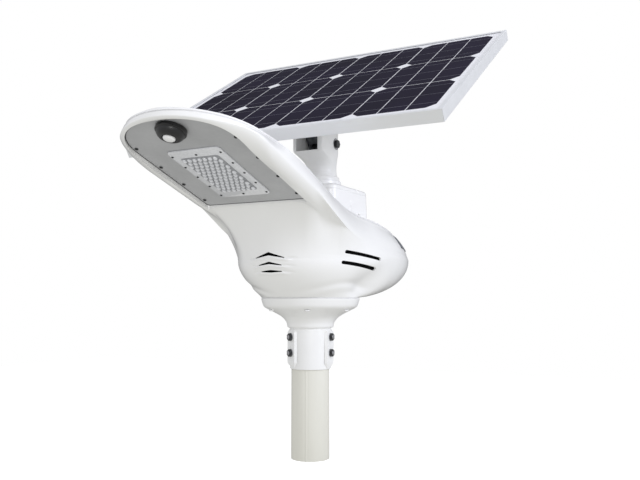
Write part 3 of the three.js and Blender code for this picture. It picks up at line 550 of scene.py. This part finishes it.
def relaxed(profile, passes):
    """Rounds out the corner between the lip and the wall by averaging neighbours."""
    points = list(profile)
    for _ in range(passes):
        points[2:-6] = [tuple((a + 2 * b + c) / 4 for a, b, c in zip(*trio))
                        for trio in zip(points[1:-7], points[2:-6], points[3:-5])]
    return points


WALL_SHARES = steps(12, 0, 0.72) + steps(12, 0.76, 0.985)
BOWL_HEIGHTS = steps(26, 1, 0.5) + steps(22, 0.48, 0)
FLANK = SimpleNamespace(lip=9, plane=5)
LIP_FORM = 1.5
KNEE_RISE = 4
PAD_ROWS = SimpleNamespace(start=FLANK.lip + FLANK.plane + 9, end=FLANK.lip + FLANK.plane + 26 + 22)


def flank_profile(x, y):
    """(radius, z) down the ray from the pole's axis to one outline point, from the crease to the neck."""
    reach = math.hypot(x, y)
    heading = math.degrees(math.atan2(x, -y))
    cosine, sine = -y / reach, x / reach
    crease = crease_z(y)
    front = 1 / math.hypot(sine / SHELL.bulge_side, cosine / SHELL.bulge_front)
    bulge = mix(front, reach + 5, smooth(75, 100, heading))
    bulge_z = mix(SHELL.bulge_z, 396, smooth(80, 130, heading))
    lip_share = 1 - smooth(33, 56, heading)
    across = max(abs(sine), 0.2)
    nose_share = 1 - smooth(-470, -395, y)
    lip_reach = mix(SHELL.lip_width / across, 6, nose_share) * lip_share
    lip_start = reach - min(lip_reach, 90)
    knee = -PLATE.lower_y / max(cosine, 0.2)
    anchor = mix(reach, soft_min(knee, lip_start, 18), smooth(0, 0.3, lip_share))
    knee_rise = KNEE_RISE * (1 - smooth(20, 30, heading))
    anchor_z = mix(crease, min(lip_z(-anchor * cosine) + knee_rise, crease - 8), lip_share)
    lip_low = lip_z(-lip_start * cosine) if lip_start > anchor else anchor_z

    profile = []
    for share in steps(FLANK.lip)[:-1]:
        angle = share * math.pi / 2
        radius = reach - (reach - lip_start) * (1 - math.cos(angle) ** LIP_FORM)
        profile.append((radius, crease - (crease - lip_low) * math.sin(angle) ** LIP_FORM))
    for share in steps(FLANK.plane)[:-1]:
        profile.append((mix(lip_start, anchor, share), mix(lip_low, anchor_z, share)))
    control_r = bulge + 0.12 * (anchor - bulge)
    control_z = mix(bulge_z, anchor_z, 0.55)
    for s in WALL_SHARES:
        radius = (1 - s) ** 2 * anchor + 2 * s * (1 - s) * control_r + s * s * bulge
        profile.append((radius, (1 - s) ** 2 * anchor_z + 2 * s * (1 - s) * control_z + s * s * bulge_z))
    profile = relaxed(profile, round(60 * smooth(28, 40, heading)))
    side_bump = bell(heading, 88, 22)
    rear_bump = smooth(60, 125, heading)
    for height in BOWL_HEIGHTS:
        front_form = math.sin(height * math.pi / 2)
        rear_form = math.sqrt(1 - (1 - height) ** 2)
        side_form = smooth(0.12, 1, height)
        form = mix(mix(front_form, rear_form, rear_bump), side_form, side_bump)
        profile.append((mix(SHELL.neck_radius, bulge, form), mix(SHELL.neck_z, bulge_z, height)))
    if cosine > 0.8:
        profile = [(r + louvre_relief(sine * r, z), z) if z < 415 else (r, z) for r, z in profile]
    profile = [(r + fold_relief(heading, z), z) for r, z in profile]
    return SimpleNamespace(profile=profile, cosine=cosine, sine=sine, lip_share=lip_share, heading=heading)


def offset_inward(profile, depth):
    last = len(profile) - 1
    moved = []
    for i, (r, z) in enumerate(profile):
        before, after = profile[max(i - 1, 0)], profile[min(i + 1, last)]
        dr, dz = after[0] - before[0], after[1] - before[1]
        length = max(math.hypot(dr, dz), 1e-9)
        moved.append((r + depth * dz / length, z - depth * dr / length))
    return moved


def inside_profile(flank):
    inside = offset_inward(flank.profile, SHELL.wall)
    for i, (r, z) in enumerate(flank.profile[:FLANK.lip + FLANK.plane + 1]):
        radius = r - SHELL.rim_wall
        inside[i] = (radius, mix(z, hood_floor_z(-radius * flank.cosine), flank.lip_share))
    return inside


def on_ray(flank, profile):
    return [(flank.sine * r, -flank.cosine * r, z) for r, z in profile]


def rings_of(columns):
    return [mirrored([column[j] for column in columns]) for j in range(len(columns[0]))]


def band_rings(extra=0.0, floor_lift=None):
    """From the seam down to the crease: a rounded shoulder, then the band that leans out to the crease."""
    rings = []
    for turn in steps(4, 1, 0):
        angle = turn * math.pi / 2
        rings.append((
            lambda y, a=angle: mix(shoulder_inset(y), seam_inset(y), 1 - math.cos(a)) + extra,
            lambda y, a=angle: shoulder_z(y) + SEAM_RISE * math.sin(a)))
    for share in reversed(steps(7)[1:-1]):
        rings.append((
            lambda y, s=share: shoulder_inset(y) * s ** 1.5 + extra,
            lambda y, s=share: mix(crease_z(y), shoulder_z(y), s)))
    made = []
    for order, (inset_at, z_at) in enumerate(rings):
        if floor_lift is None:
            made.append(band_ring(inset_at, z_at))
        else:
            lift = floor_lift * (len(rings) - order)
            made.append(band_ring(inset_at, lambda y, z=z_at, up=lift: max(z(y), hood_floor_z(y) + up)))
    return made


def recess_outline(offset):
    """The plate's opening in plan, drawn out by an offset."""
    half = PLATE.half_width + offset
    length = PLATE.nose_length + offset
    centre_y = PLATE.tip_y + PLATE.nose_length
    right = []
    for share in steps(28):
        angle = share * math.pi / 2
        reach = 0.0 if share == 1 else math.cos(angle) ** (2 / PLATE.power)
        right.append((half * math.sin(angle) ** (2 / PLATE.power), centre_y - length * reach))
    corner_centre = (half - PLATE.corner, PLATE.lower_y - 3 + offset - PLATE.corner)
    right += arc(corner_centre, PLATE.corner, 0, 4)
    left = [(-x, y) for x, y in reversed(right) if x > 1e-6]
    return right + left


def sloped(outline, low, high):
    return loft([[(x, y, plate_z(y) + lift) for x, y in outline] for lift in (low, high)])


def chevron_cutter(vent):
    half, ends, thin = vent.half_width, vent.ends_z, VENT_END_THICKNESS
    below = ((-half, ends - thin), (0, vent.low_z), (half, ends - thin), (half + thin, ends))
    above = ((half, ends + thin), (0, vent.high_z), (-half, ends + thin), (-half - thin, ends))
    return cutter(loft([[(x, y, z) for x, z in below + above] for y in FRONT_CUT]))


def slot_cutter(vent, side):
    radius = SIDE_VENT_HEIGHT / 2
    straight = vent.length / 2 - radius
    outline = arc((straight, 0), radius, -90, 8, 180) + arc((-straight, 0), radius, 90, 8, 180)
    leaning = [(u + v * vent.lean, v - u * vent.lean) for u, v in outline]
    return cutter(loft([[(side * x, vent.y + u, vent.z + v) for u, v in leaning] for x in SIDE_CUT]))


# ---- the body
def body_flanks():
    return [flank_profile(*outline_point(kind, share, 0)) for kind, share in STATIONS]


def build_shell(paint):
    flanks = body_flanks()
    outside = band_rings() + rings_of([on_ray(flank, flank.profile) for flank in flanks])
    inside = band_rings(SHELL.rim_wall, 0.12)
    inside += rings_of([on_ray(flank, inside_profile(flank)) for flank in flanks])
    inside_z = SHELL.neck_z + SHELL.wall

    def floor_ring(radius, z):
        scale = radius / SHELL.neck_radius
        return [(x * scale, y * scale, z) for x, y, _ in outside[-1]]

    neck_floor = [floor_ring(SHELL.hole_radius, SHELL.neck_z), floor_ring(SHELL.hole_radius, inside_z),
                  floor_ring(SHELL.neck_radius - SHELL.wall, inside_z)]
    body = bare_piece("body_shell", *loft(outside + neck_floor + inside[:-1][::-1], cyclic=True))
    cutters = [cutter(sloped(recess_outline(0), -40, RECESS_DEPTH)),
               cutter(sloped(recess_outline(-RECESS_LEDGE), -10, 20))]
    cutters += [chevron_cutter(vent) for vent in FRONT_VENTS]
    cutters += [slot_cutter(vent, side) for vent in SIDE_VENTS for side in (1, -1)]
    combine(body, cutters)
    return finish_piece(body, paint.gloss, "head", ["lower_shell"], crease=40)


def build_vent_shade_pads(paint):
    """Near-black pads just behind the slots, following the flank inside: painted shade for the dark inside of
    the body seen through the vents.
    """
    flanks = body_flanks()

    def pad(name, low, high, side=1):
        chosen = [flank for flank in flanks if low <= flank.heading <= high]
        grids = []
        for depth in (SHELL.wall + 3, SHELL.wall + 5):
            grid = []
            for flank in chosen:
                ray = on_ray(flank, offset_inward(flank.profile, depth))
                grid.append([(side * x, y, z) for x, y, z in ray[PAD_ROWS.start:PAD_ROWS.end]])
            if low == 0:
                grid = [[(-x, y, z) for x, y, z in column] for column in grid[:0:-1]] + grid
            grids.append(grid)
        add_piece(name, slab(*grids), paint.soot, "head")

    # Each pad is painted shade, standing in for the dark inside behind the slots.
    pad("vent_shade_pad_front", 0, 19)
    pad("vent_shade_pad_right", 52, 106)
    pad("vent_shade_pad_left", 52, 106, -1)


# ---- lid, seal and hatch
COVER_LIFT = SEAM_RISE + 1.8
COVER_EDGE = 3
COVER_LEAN = 1.4


def crown_at(y):
    return mix(0.1, 0.17, smooth(-300, 0, y))


def cover_rows(lift, rim_inset):
    rows = []
    for kind, share in STATIONS:
        y = outline_point(kind, share, 0)[1]
        half_x, row_y = outline_point(kind, share, seam_inset(y) + rim_inset)
        full_x = max(outline_point(kind, share, seam_inset(y))[0], 1e-6)
        row = []
        for across in steps(28, -1, 1):
            x = half_x * across
            row.append((x, row_y, shoulder_z(y) + lift + full_x * crown_at(y) * (1 - (x / full_x) ** 2)))
        rows.append(row)
    return rows


def build_lid(paint):
    """The lid's top face is drawn in a little from its lower one, so its edge leans inwards."""
    bottom = cover_rows(COVER_LIFT, 0)
    top = cover_rows(COVER_LIFT + COVER_EDGE, COVER_LEAN)
    lid = bare_piece("back_lid", *slab(top, bottom))
    combine(lid, [cutter(cylinder(33, 440, 560, 48), MAST_AXIS)])
    finish_piece(lid, paint.lid, "head", ["back_cover"], crease=30)
    soften(lid, 0.9, 3, 40)

    ring = [band_ring(lambda y, e=extra: seam_inset(y) + e, lambda y, u=up: shoulder_z(y) + SEAM_RISE + u)
            for extra, up in ((0.25, 0.1), (0.25, 1.7), (3.4, 1.7), (3.4, 0.1))]
    add_piece("lid_seal", loft(ring, cyclic=True), paint.rubber, "head", ["cover_gasket"])


def build_hatch(paint):
    """A dark textured strip round the tail with fine ribs along it."""
    def strip(extra, share):
        half = []
        for along in steps(80, HATCH.start, 1.0):
            y = outline_point("tail", along, 0)[1]
            x, y_in = outline_point("tail", along, shoulder_inset(y) * share ** 1.5 + extra)
            half.append((x, y_in, mix(crease_z(y), shoulder_z(y), share)))
        return half + [(-x, y, z) for x, y, z in reversed(half[:-1])]

    heights = steps(36, HATCH.low, HATCH.high)
    outside = []
    for index, height in enumerate(heights):
        rib = HATCH.rib if index % 4 in (1, 2) else 0.0
        outside.append(strip(-1.5 - rib if 0 < index < len(heights) - 1 else -0.9, height))
    inside = [strip(-0.4, height) for height in heights]
    add_piece("tail_hatch", slab(outside, inside), paint.hatch, "head", ["rear_hatch"], 50)


# ---- light unit
def pan_head(radius, height, socket=True):
    profile = [(0, 0), (radius, 0), (radius, height * 0.35), (radius * 0.93, height * 0.7),
               (radius * 0.72, height * 0.93), (radius * 0.5, height)]
    if socket:
        profile += [(radius * 0.42, height), (radius * 0.36, height * 0.45), (0, height * 0.4)]
    else:
        profile += [(0, height)]
    return revolve(profile, 24)


def build_plate(paint):
    plate = add_piece("light_plate", sloped(recess_outline(-0.8), -1.1, 1.9), paint.plate, "head",
                      ["led_plate"], 30)
    soften(plate, 0.5, 2, 40)

    bead_rings = [[(x, y, plate_z(y) + lift) for x, y in recess_outline(grow)]
                  for grow, lift in ((-0.1, -1.3), (-0.1, -0.2), (-2.2, -0.9), (-1.9, -1.5))]
    add_piece("plate_bead", loft(bead_rings, cyclic=True), paint.bead, "head")

    spots = [(side * PLATE.screw_x, y) for y in PLATE.screw_rows for side in (1, -1)]
    for number, (x, y) in enumerate(spots, 1):
        add_piece(f"plate_screw_head_{number}", pan_head(3.1, 1.7), paint.dark, "head",
                  [f"plate_screw_{number}"], 50, place_under_plate(x, y, 1.2) @ FLIP)


def build_lens(paint):
    """A clear sheet with a field of small oval lenses, held by twelve screws round its rim; the mid-grey bed
    under the lenses is painted shade round each lens.
    """
    place = place_under_plate(0, LENS.y, UNDER_PLATE)

    def layers(half_x, half_y, corner, levels):
        rings = []
        for inset, z in levels:
            outline = rounded_outline(half_x - inset, inset - half_y, half_y - inset, corner, corner)
            rings.append([(x, y, z) for x, y in outline])
        return rings

    sheet = layers(LENS.half_x, LENS.half_length, 8, ((0, 0.0), (0, -1.6), (0.5, -2.3), (1.4, -2.6)))
    add_piece("lens_sheet", loft(sheet), paint.optic, "head", ["lens_cover"], 30, place)
    # The bed is mid-grey: painted shade for the shading round each dome.
    bed = layers(LENS.bed_half_x, LENS.bed_half_length, 5, ((0, -2.6), (0, -3.2), (0.8, -3.6)))
    add_piece("lens_dome_shade_bed", loft(bed), paint.board, "head", place=place)

    dome, dome_faces = revolve([(4.4, -3.4), (4.3, -4.6), (3.5, -6.0), (2.1, -6.9), (0, -7.2)], 14)
    domes = []
    for i in range(DOME.columns):
        for j in range(DOME.rows):
            cx = (i - (DOME.columns - 1) / 2) * DOME.pitch + (DOME.stagger if j % 2 else -DOME.stagger)
            cy = (j - (DOME.rows - 1) / 2) * DOME.pitch
            placed = [(cx + DOME.squeeze * x, cy + x * DOME.skew + y, z) for x, y, z in dome]
            domes.append((placed, dome_faces))
    add_piece("lens_domes", merge(domes), paint.optic, "head", crease=60, place=place)

    rows = (-382, -346, -311, -275, -239)
    spots = [(side * LENS.screw_x, y) for y in rows for side in (1, -1)] + [(0, rows[0]), (0, rows[-1])]
    for number, (x, y) in enumerate(spots, 1):
        add_piece(f"lens_screw_{number}", pan_head(2.1, 1.2), paint.dark, "head", crease=50,
                  place=place @ Matrix.Translation((x, y - LENS.y, -2.5)) @ FLIP)


def build_sensor(paint):
    squat = Matrix.Diagonal((SENSOR.width_scale, SENSOR.width_scale, SENSOR.depth_scale, 1))
    place = place_under_plate(SENSOR.x, SENSOR.y, UNDER_PLATE) @ squat
    cone = [(0, -0.4), (25.2, -0.4), (26, -1.2), (26.2, -7.6), (25.6, -8.6), (23.9, -9.2), (23.6, -11),
            (22.6, -14.4), (20.6, -17.6), (17.6, -20.4), (14.4, -22.0), (12.9, -22.2), (12.0, -21.6),
            (11.2, -20.2), (10.9, -17.2), (0, -17.2)]
    add_piece("sensor_cone", revolve(cone, 72), paint.black, "head", ["sensor_body"], 28,
              place)
    dome = [(0, -17.4), (10.5, -17.4), (10.5, -20.8), (10.2, -22.2), (9.2, -23.8), (7.6, -25.0), (5.2, -25.9),
            (2.6, -26.3), (0, -26.4)]
    add_piece("sensor_window", revolve(dome, 24), paint.window, "head", ["sensor_lens"], 12,
              place)


# ---- collar and pole
COLLAR = SimpleNamespace(bore=38.8, pad_reach=45, angles=(-30, 90, 210), heights=(207, 238),
                         flange_angle=24, flange_radius=83.5, flange_seat=291.6)
POLE = SimpleNamespace(inner=34.5, outer=38.0, top=262.0, seam_angle=-74.3)


def flange_spot(number):
    return turned(COLLAR.flange_angle + 60 * number) @ Matrix.Translation((0, -COLLAR.flange_radius, 0))


def build_collar(paint):
    bore = COLLAR.bore
    sleeve = [(bore + 0.3, 175), (40.0, 175), (40.5, 175.6), (42.4, 250.5), (42.2, 251.8), (41.0, 252.8),
              (40.6, 253.8), (41.2, 254.8), (43.2, 255.6), (45.0, 256.6), (46.0, 258.2), (46.3, 260)]
    flare = [(46.7, 263), (48.0, 266.6), (50.2, 269.9), (52.8, 273.2), (56.2, 276.4), (60, 279.1),
             (63.6, 281.3), (67, 283.2), (71.2, 285.4), (75.3, 287.5), (80.6, 290.1), (86, 292.8)]
    brim = [(90.2, 295.2), (93, 297.5), (94.6, 300.4), (96.0, 304.5), (97.2, 308.4), (98.0, 311.2),
            (98.1, 312.6), (97.4, 313.4), (96.4, 313.5)]
    inner = [(70, 313.5), (66, 292), (52, 284), (34, 266.5), (34, 263.5), (bore, 263.5), (bore, 175.3)]
    body = bare_piece("collar_bell", *revolve(sleeve + flare + brim + inner, 144, closed=True))
    # Each pad stands proud of the sleeve and runs out towards its lower end.
    pad, root = [], -bore - 0.8
    for z, half, depth in ((176.5, 5, 41), (187, 12.5, 44.6), (190, 13, 45), (246, 13, 45),
                           (250.5, 12, 43.4)):
        pad.append([(-half - 2, root, z), (half + 2, root, z), (half, -depth, z), (-half, -depth, z)])
    combine(body, [cutter(loft(pad), turned(degrees)) for degrees in COLLAR.angles], "UNION")
    pocket = cylinder(6.6, 262, COLLAR.flange_seat, 28)
    combine(body, [cutter(pocket, flange_spot(number)) for number in range(1, 7)])
    finish_piece(body, paint.cast, "head", ["pole_collar"], crease=34)
    soften(body, 0.5, 2, 44)

    washer = revolve([(4.4, 0), (7.6, 0), (7.8, 0.2), (7.8, 0.9), (7.5, 1.1), (4.4, 1.1)], 36, True)
    spots = [(degrees, z) for degrees in COLLAR.angles for z in COLLAR.heights]
    for number, (degrees, z) in enumerate(spots, 1):
        screw = refined(f"collar_set_screw_{number}", paint.dark, 0.5)
        screw.name = f"set_bolt_{number}"
        outward = Matrix.Translation((0, -COLLAR.pad_reach - 0.15, z)) @ Matrix.Rotation(math.pi / 2, 4, "X")
        face = turned(degrees) @ outward
        add_piece(f"set_bolt_washer_{number}", washer, paint.steel, "head", place=face)
        add_piece(f"set_bolt_tip_{number}", pan_head(4.2, 1.6, socket=False), paint.steel, "head",
                  crease=50, place=face @ Matrix.Translation((0, 0, 5.5)))
    for number in range(1, 7):
        add_piece(f"flange_screw_head_{number}", pan_head(5.4, 3.0, socket=False), paint.lid, "head",
                  [f"flange_screw_{number}"], 50,
                  flange_spot(number) @ Matrix.Translation((0, 0, COLLAR.flange_seat)) @ FLIP)
    gasket = revolve([(70.5, 313.6), (97.2, 313.6), (97.4, 314.3), (97.2, 315.1), (70.5, 315.1)], 120, True)
    add_piece("neck_seal", gasket, paint.rubber, "head", ["neck_gasket"])


def weld_relief(radius, angle):
    """A weld bead along the tube with a shallow groove on both its sides, on the outside only."""
    offset = (math.degrees(angle) - POLE.seam_angle + 180) % 360 - 180
    if radius < POLE.outer - 2:
        return 0
    return 0.55 * bell(offset, 0, 1.5) - 0.3 * bell(offset, -4.0, 1.6) - 0.3 * bell(offset, 4.0, 1.6)


def build_pole(paint):
    inner, outer, top = POLE.inner, POLE.outer, POLE.top
    profile = [(inner, top), (inner, 0), (outer - 0.4, 0), (outer, 0.6), (outer, top - 0.6),
               (outer - 0.6, top)]
    tube = revolve(profile, 180, closed=True, relief=weld_relief)
    add_piece("pole_tube", tube, paint.pole, "pole", ["pole_stub"], 45)


# ---- pedestal and mast
def build_pedestal(paint):
    def ring(grow, z):
        corner = PEDESTAL.corner + grow
        front, back = PEDESTAL.front - grow, PEDESTAL.back + grow
        outline = rounded_outline(PEDESTAL.half_x + grow, front, back, corner, corner, 8)
        return [(x, y, z) for x, y in outline]

    outer = [ring(grow, z) for grow, z in ((5, 440), (1.4, 528.4), (1.3, 530.2), (0.3, 530.6), (0.3, 531.4),
                                           (1.2, 531.8))]
    for share in steps(6):
        angle = share * math.pi / 2
        outer.append(ring(1.0 - 5.5 * (1 - math.cos(angle)), 535.5 + 5.5 * math.sin(angle)))
    block = bare_piece("mast_base", *loft(outer))
    boss = [(0, 530), (44, 530), (44, 541.2), (42.2, 541.9), (40.9, 543.4), (40.4, 545.5), (40, 553.8),
            (39.2, 555), (0, 555)]
    combine(block, [cutter(revolve(boss, 96), MAST_AXIS)], "UNION")
    hollow = [ring(0, 400), ring(-5, 528), ring(-8, 536)]
    lid_top = cover_rows(COVER_LIFT + COVER_EDGE + 0.4, 0)
    below_lid = [[(x, y, 300) for x, y, _ in row] for row in lid_top]
    combine(block, [cutter(loft(hollow)), cutter(slab(lid_top, below_lid)),
                    cutter(cylinder(23.6, 470, 600, 48), MAST_AXIS)])
    finish_piece(block, paint.lid, "head", ["mast_pedestal"], crease=30)


def interpolate(keys, z):
    """Values between two keys (z, a, b, ...)."""
    for low, high in zip(keys, keys[1:]):
        if z <= high[0]:
            share = (z - low[0]) / (high[0] - low[0])
            return [mix(a, b, share) for a, b in zip(low[1:], high[1:])]
    return list(keys[-1][1:])


def build_post(paint):
    y = MAST_Y
    back = y + FORK.back
    # Height, half width, how far the front stands out from the axis, front corner radius, back corner radius.
    keys = ((565.3, 33, 33, 32.9, 32.9), (570, 31.4, 31.4, 31.3, 31.3), (578, 30.5, 30.5, 30.4, 30.4),
            (585, 30.5, 31.6, 30, 30), (590, 30.6, 34, 29, 30), (595, 31, 38.6, 26, 30),
            (600, 31.6, 46, 21, 30), (605, 32.4, 55.5, 15, 29.6), (608.5, 33.1, 62.3, 10, 29.3),
            (611, 33.5, 65, 7.5, 29),
            (615, 33.5, 65.5, 6, 29), (659.6, 33.5, 65.5, 6, 29))
    rings = []
    for radius, z in ((36, 555.3), (36.6, 555.9), (36.6, 561.6), (36.2, 562.6), (35.2, 563.2), (33.6, 564)):
        ring = rounded_outline(radius, y - radius, y + radius, radius - 0.01, radius - 0.01, 10)
        rings.append([(px, py, z) for px, py in ring])
    for z in steps(32, 565.3, 619) + [640, 659.6]:
        half_x, front, front_radius, back_radius = interpolate(keys, z)
        ring = rounded_outline(half_x, y - front, min(y + half_x, back), front_radius, back_radius, 10)
        rings.append([(px, py, z) for px, py in ring])
    for inset, z in ((0.4, 660.5), (1.4, 661)):
        ring = rounded_outline(FORK.half_x - inset, y - FORK.front + inset, back - inset, 6, 29, 10)
        rings.append([(px, py, z) for px, py in ring])
    post = bare_piece("mast_casting", *loft(rings))
    spigot = revolve([(0, 503), (21.2, 503), (22, 503.8), (22, 556), (0, 556)], 48)
    combine(post, [cutter(spigot, MAST_AXIS)], "UNION")
    across = Matrix.Translation((0, y, BOLT_Z)) @ Matrix.Rotation(math.pi / 2, 4, "Y")
    fork_gap = cutter(cuboid(-FORK.half_gap, FORK.half_gap, -60, 130, FORK.floor_z, 700))
    wire_way = cutter(cylinder(9, 480, 680, 28), Matrix.Translation((0, y + 8, 0)))
    combine(post, [fork_gap, cutter(cylinder(6.3, -60, 60, 32), across), wire_way])
    finish_piece(post, paint.cast, "mast", ["mast_post"], crease=30)
    soften(post, 0.9, 3, 46)

    washer = revolve([(6.4, 0), (11.6, 0), (12, 0.3), (12, 0.0), (12, -0.05), (6.4, -0.05)], 40, True)
    for side, flip in (("right", HERE), ("left", FLIP)):
        face = across @ flip @ Matrix.Translation((0, 0, FORK.half_x + 0.1))
        add_piece(f"tilt_washer_{side}", washer, paint.steel, "mast", place=face)
    refined("tilt_bolt", paint.dark, 0.6, 3)
    refined("tilt_nut", paint.dark, 0.6, 3)


# ---- solar panel
def cell_strips(cell_x, cy, cell_z):
    """One cell is cut into strips, and its four corners are chamfered."""
    width = (CELL.size - CELL.gap * (CELL.strips - 1)) / CELL.strips
    y0, y1 = cy - CELL.size / 2, cy + CELL.size / 2
    c = CELL.chamfer
    shapes = []
    for strip in range(CELL.strips):
        x0 = cell_x - CELL.size / 2 + strip * (width + CELL.gap)
        x1 = x0 + width
        left, right = strip == 0, strip == CELL.strips - 1
        outline = [(x0 + c, y0) if left else (x0, y0), (x1 - c, y0) if right else (x1, y0)]
        outline += [(x1, y0 + c), (x1, y1 - c), (x1 - c, y1)] if right else [(x1, y1)]
        outline += [(x0 + c, y1), (x0, y1 - c), (x0, y0 + c)] if left else [(x0, y1)]
        shapes.append(loft([[(x, y, cell_z + lift) for x, y in outline] for lift in (0.02, 0.22)]))
    return shapes


def build_panel(paint):
    for side in ("front", "rear", "left", "right"):
        refined(f"frame_rail_{side}", paint.frame, 0.45)
    for side in ("left", "right"):
        refined(f"cross_beam_{side}", paint.frame, 0.5)
    refined("tilt_bracket", paint.zinc, 0.7)
    for number in range(1, 5):
        refined(f"bracket_bolt_{number}", paint.steel, 0.4)
    refined("junction_box", paint.black, 2.0, 4)

    cell_z = PANEL.face_height - PANEL.sheet_drop
    half_x, half_y = PANEL.width / 2 - PANEL.sheet_margin, PANEL.depth / 2 - PANEL.sheet_margin
    place = place_on_panel(0, PANEL.slope_offset, 0)
    block = cuboid(-half_x, half_x, -half_y, half_y, cell_z - PANEL.sheet_thickness, cell_z)
    sheet = add_piece("solar_sheet", block, paint.sheet, "panel", ["panel_laminate"],
                      place=place)
    soften(sheet, 0.3, 1)

    half = CELL.across * CELL.pitch / 2 - 3
    for row in range(CELL.along):
        cy = (row - (CELL.along - 1) / 2) * CELL.pitch
        strips = []
        for column in range(CELL.across):
            strips += cell_strips((column - (CELL.across - 1) / 2) * CELL.pitch, cy, cell_z)
        add_piece(f"cell_row_{row + 1}", merge(strips), paint.cell, "panel", (), 20, place)
        lines = [cy + third * CELL.size / 3 for third in (-1, 0, 1)]
        ribbons = merge([cuboid(-half, half, y - 0.5, y + 0.5, cell_z + 0.1, cell_z + 0.3) for y in lines])
        add_piece(f"ribbons_row_{row + 1}", ribbons, paint.ribbon, "panel", place=place)


# ---- carried-over CAD nodes
def dress_nodes(paint):
    """CAD nodes whose own shape stays: the inner pieces, and the lid's screws."""
    looks = {"battery_tray": paint.steel, "battery_pack": paint.battery,
             "charge_controller": paint.circuit, "led_board": paint.board, "mast_retaining_ring": paint.steel}
    for node, look in looks.items():
        mesh = frame["nodes"][node].data
        mesh.materials.clear()
        mesh.materials.append(look)
    for number in range(1, 7):
        refined(f"cover_screw_{number}", paint.cast, 0.4)


# ---- studio
def build_camera():
    """The eye stands low, in front and to the right, and looks slightly up at the head."""
    data = bpy.data.cameras.new("camera")
    data.sensor_width = 36
    data.lens = 42.7
    camera = bpy.data.objects.new("camera", data)
    camera.location = (0.7279, -1.3391, 0.309)
    camera.rotation_euler = (math.radians(94.57), 0, math.radians(27.81))
    SCENE.collection.objects.link(camera)
    SCENE.camera = camera


def area_light(name, location, target, size, power, color=(1, 1, 1)):
    data = bpy.data.lights.new(name, "AREA")
    data.shape = "DISK"
    data.size = size
    data.energy = power
    data.color = color
    light = bpy.data.objects.new(name, data)
    light.location = location
    light.rotation_euler = (Vector(target) - Vector(location)).to_track_quat("-Z", "Y").to_euler()
    SCENE.collection.objects.link(light)
    return light


def build_studio():
    SCENE.view_settings.view_transform = "Standard"
    world = bpy.data.worlds.new("studio")
    SCENE.world = world
    world.use_nodes = True
    nodes, links = world.node_tree.nodes, world.node_tree.links
    shown = nodes["Background"].outputs["Background"]
    nodes["Background"].inputs["Color"].default_value = (1, 1, 1, 1)
    lit = nodes.new("ShaderNodeBackground")
    around = nodes.new("ShaderNodeTexCoord").outputs["Generated"]
    split = nodes.new("ShaderNodeSeparateXYZ")
    height = add_node(nodes, "MapRange", {"From Min": -1})
    ramp = color_ramp(nodes, (0.15, (0.68, 0.68, 0.655, 1)), (0.8, (0.80, 0.81, 0.86, 1)))
    links.new(around, split.inputs["Vector"])
    links.new(split.outputs["Z"], height.inputs["Value"])
    links.new(height.outputs["Result"], ramp.inputs["Fac"])
    # The part of the studio behind the object is darker, so that glossy edges stand out from the white.
    behind = add_node(nodes, "VectorMath", {1: (-0.466, 0.885, 0)}, operation="DOT_PRODUCT")
    dim = add_node(nodes, "MapRange", {"From Min": 0.55, "From Max": 0.95, "To Min": 1.0, "To Max": 0.25})
    dimmed = add_node(nodes, "VectorMath", {}, operation="SCALE")
    links.new(around, behind.inputs[0])
    links.new(behind.outputs["Value"], dim.inputs["Value"])
    links.new(ramp.outputs["Color"], dimmed.inputs[0])
    links.new(dim.outputs["Result"], dimmed.inputs["Scale"])
    links.new(dimmed.outputs["Vector"], lit.inputs["Color"])
    # The camera itself sees plain white.
    path = nodes.new("ShaderNodeLightPath")
    choose = nodes.new("ShaderNodeMixShader")
    links.new(path.outputs["Is Camera Ray"], choose.inputs["Fac"])
    links.new(lit.outputs["Background"], choose.inputs[1])
    links.new(shown, choose.inputs[2])
    links.new(choose.outputs["Shader"], nodes["World Output"].inputs["Surface"])

    area_light("key_right", (2.4, -0.3, 1.3), (0, 0, 0.45), 1.0, 23, (0.84, 0.87, 1.0))
    area_light("fill_front", (1.4, -2.3, 0.9), (0, 0, 0.5), 0.8, 10, (1.0, 0.99, 0.97))
    area_light("top_behind", (0.2, 1.6, 2.4), (0, 0, 0.6), 1.4, 16).visible_glossy = False

    floor_paint = Paint("pale_floor", (0.97, 0.97, 0.97), 0.9, specular=0.0)
    floor_paint.mottle(2, 0.004)
    floor = bare_piece("floor", *cuboid(-9000, 9000, -9000, 9000, -720, -700))
    floor.data.materials.append(floor_paint.material)
    floor_paint.shader.inputs["Emission Color"].default_value = (1, 1, 1, 1)
    floor_paint.shader.inputs["Emission Strength"].default_value = 0.7
    floor.visible_diffuse = False
    floor.visible_glossy = False


def main():
    build_camera()
    build_studio()
    paint = make_paints()
    for build in (build_shell, build_vent_shade_pads, build_lid, build_hatch, build_plate, build_lens,
                  build_sensor, build_collar, build_pole, build_pedestal, build_post, build_panel,
                  dress_nodes):
        build(paint)


main()
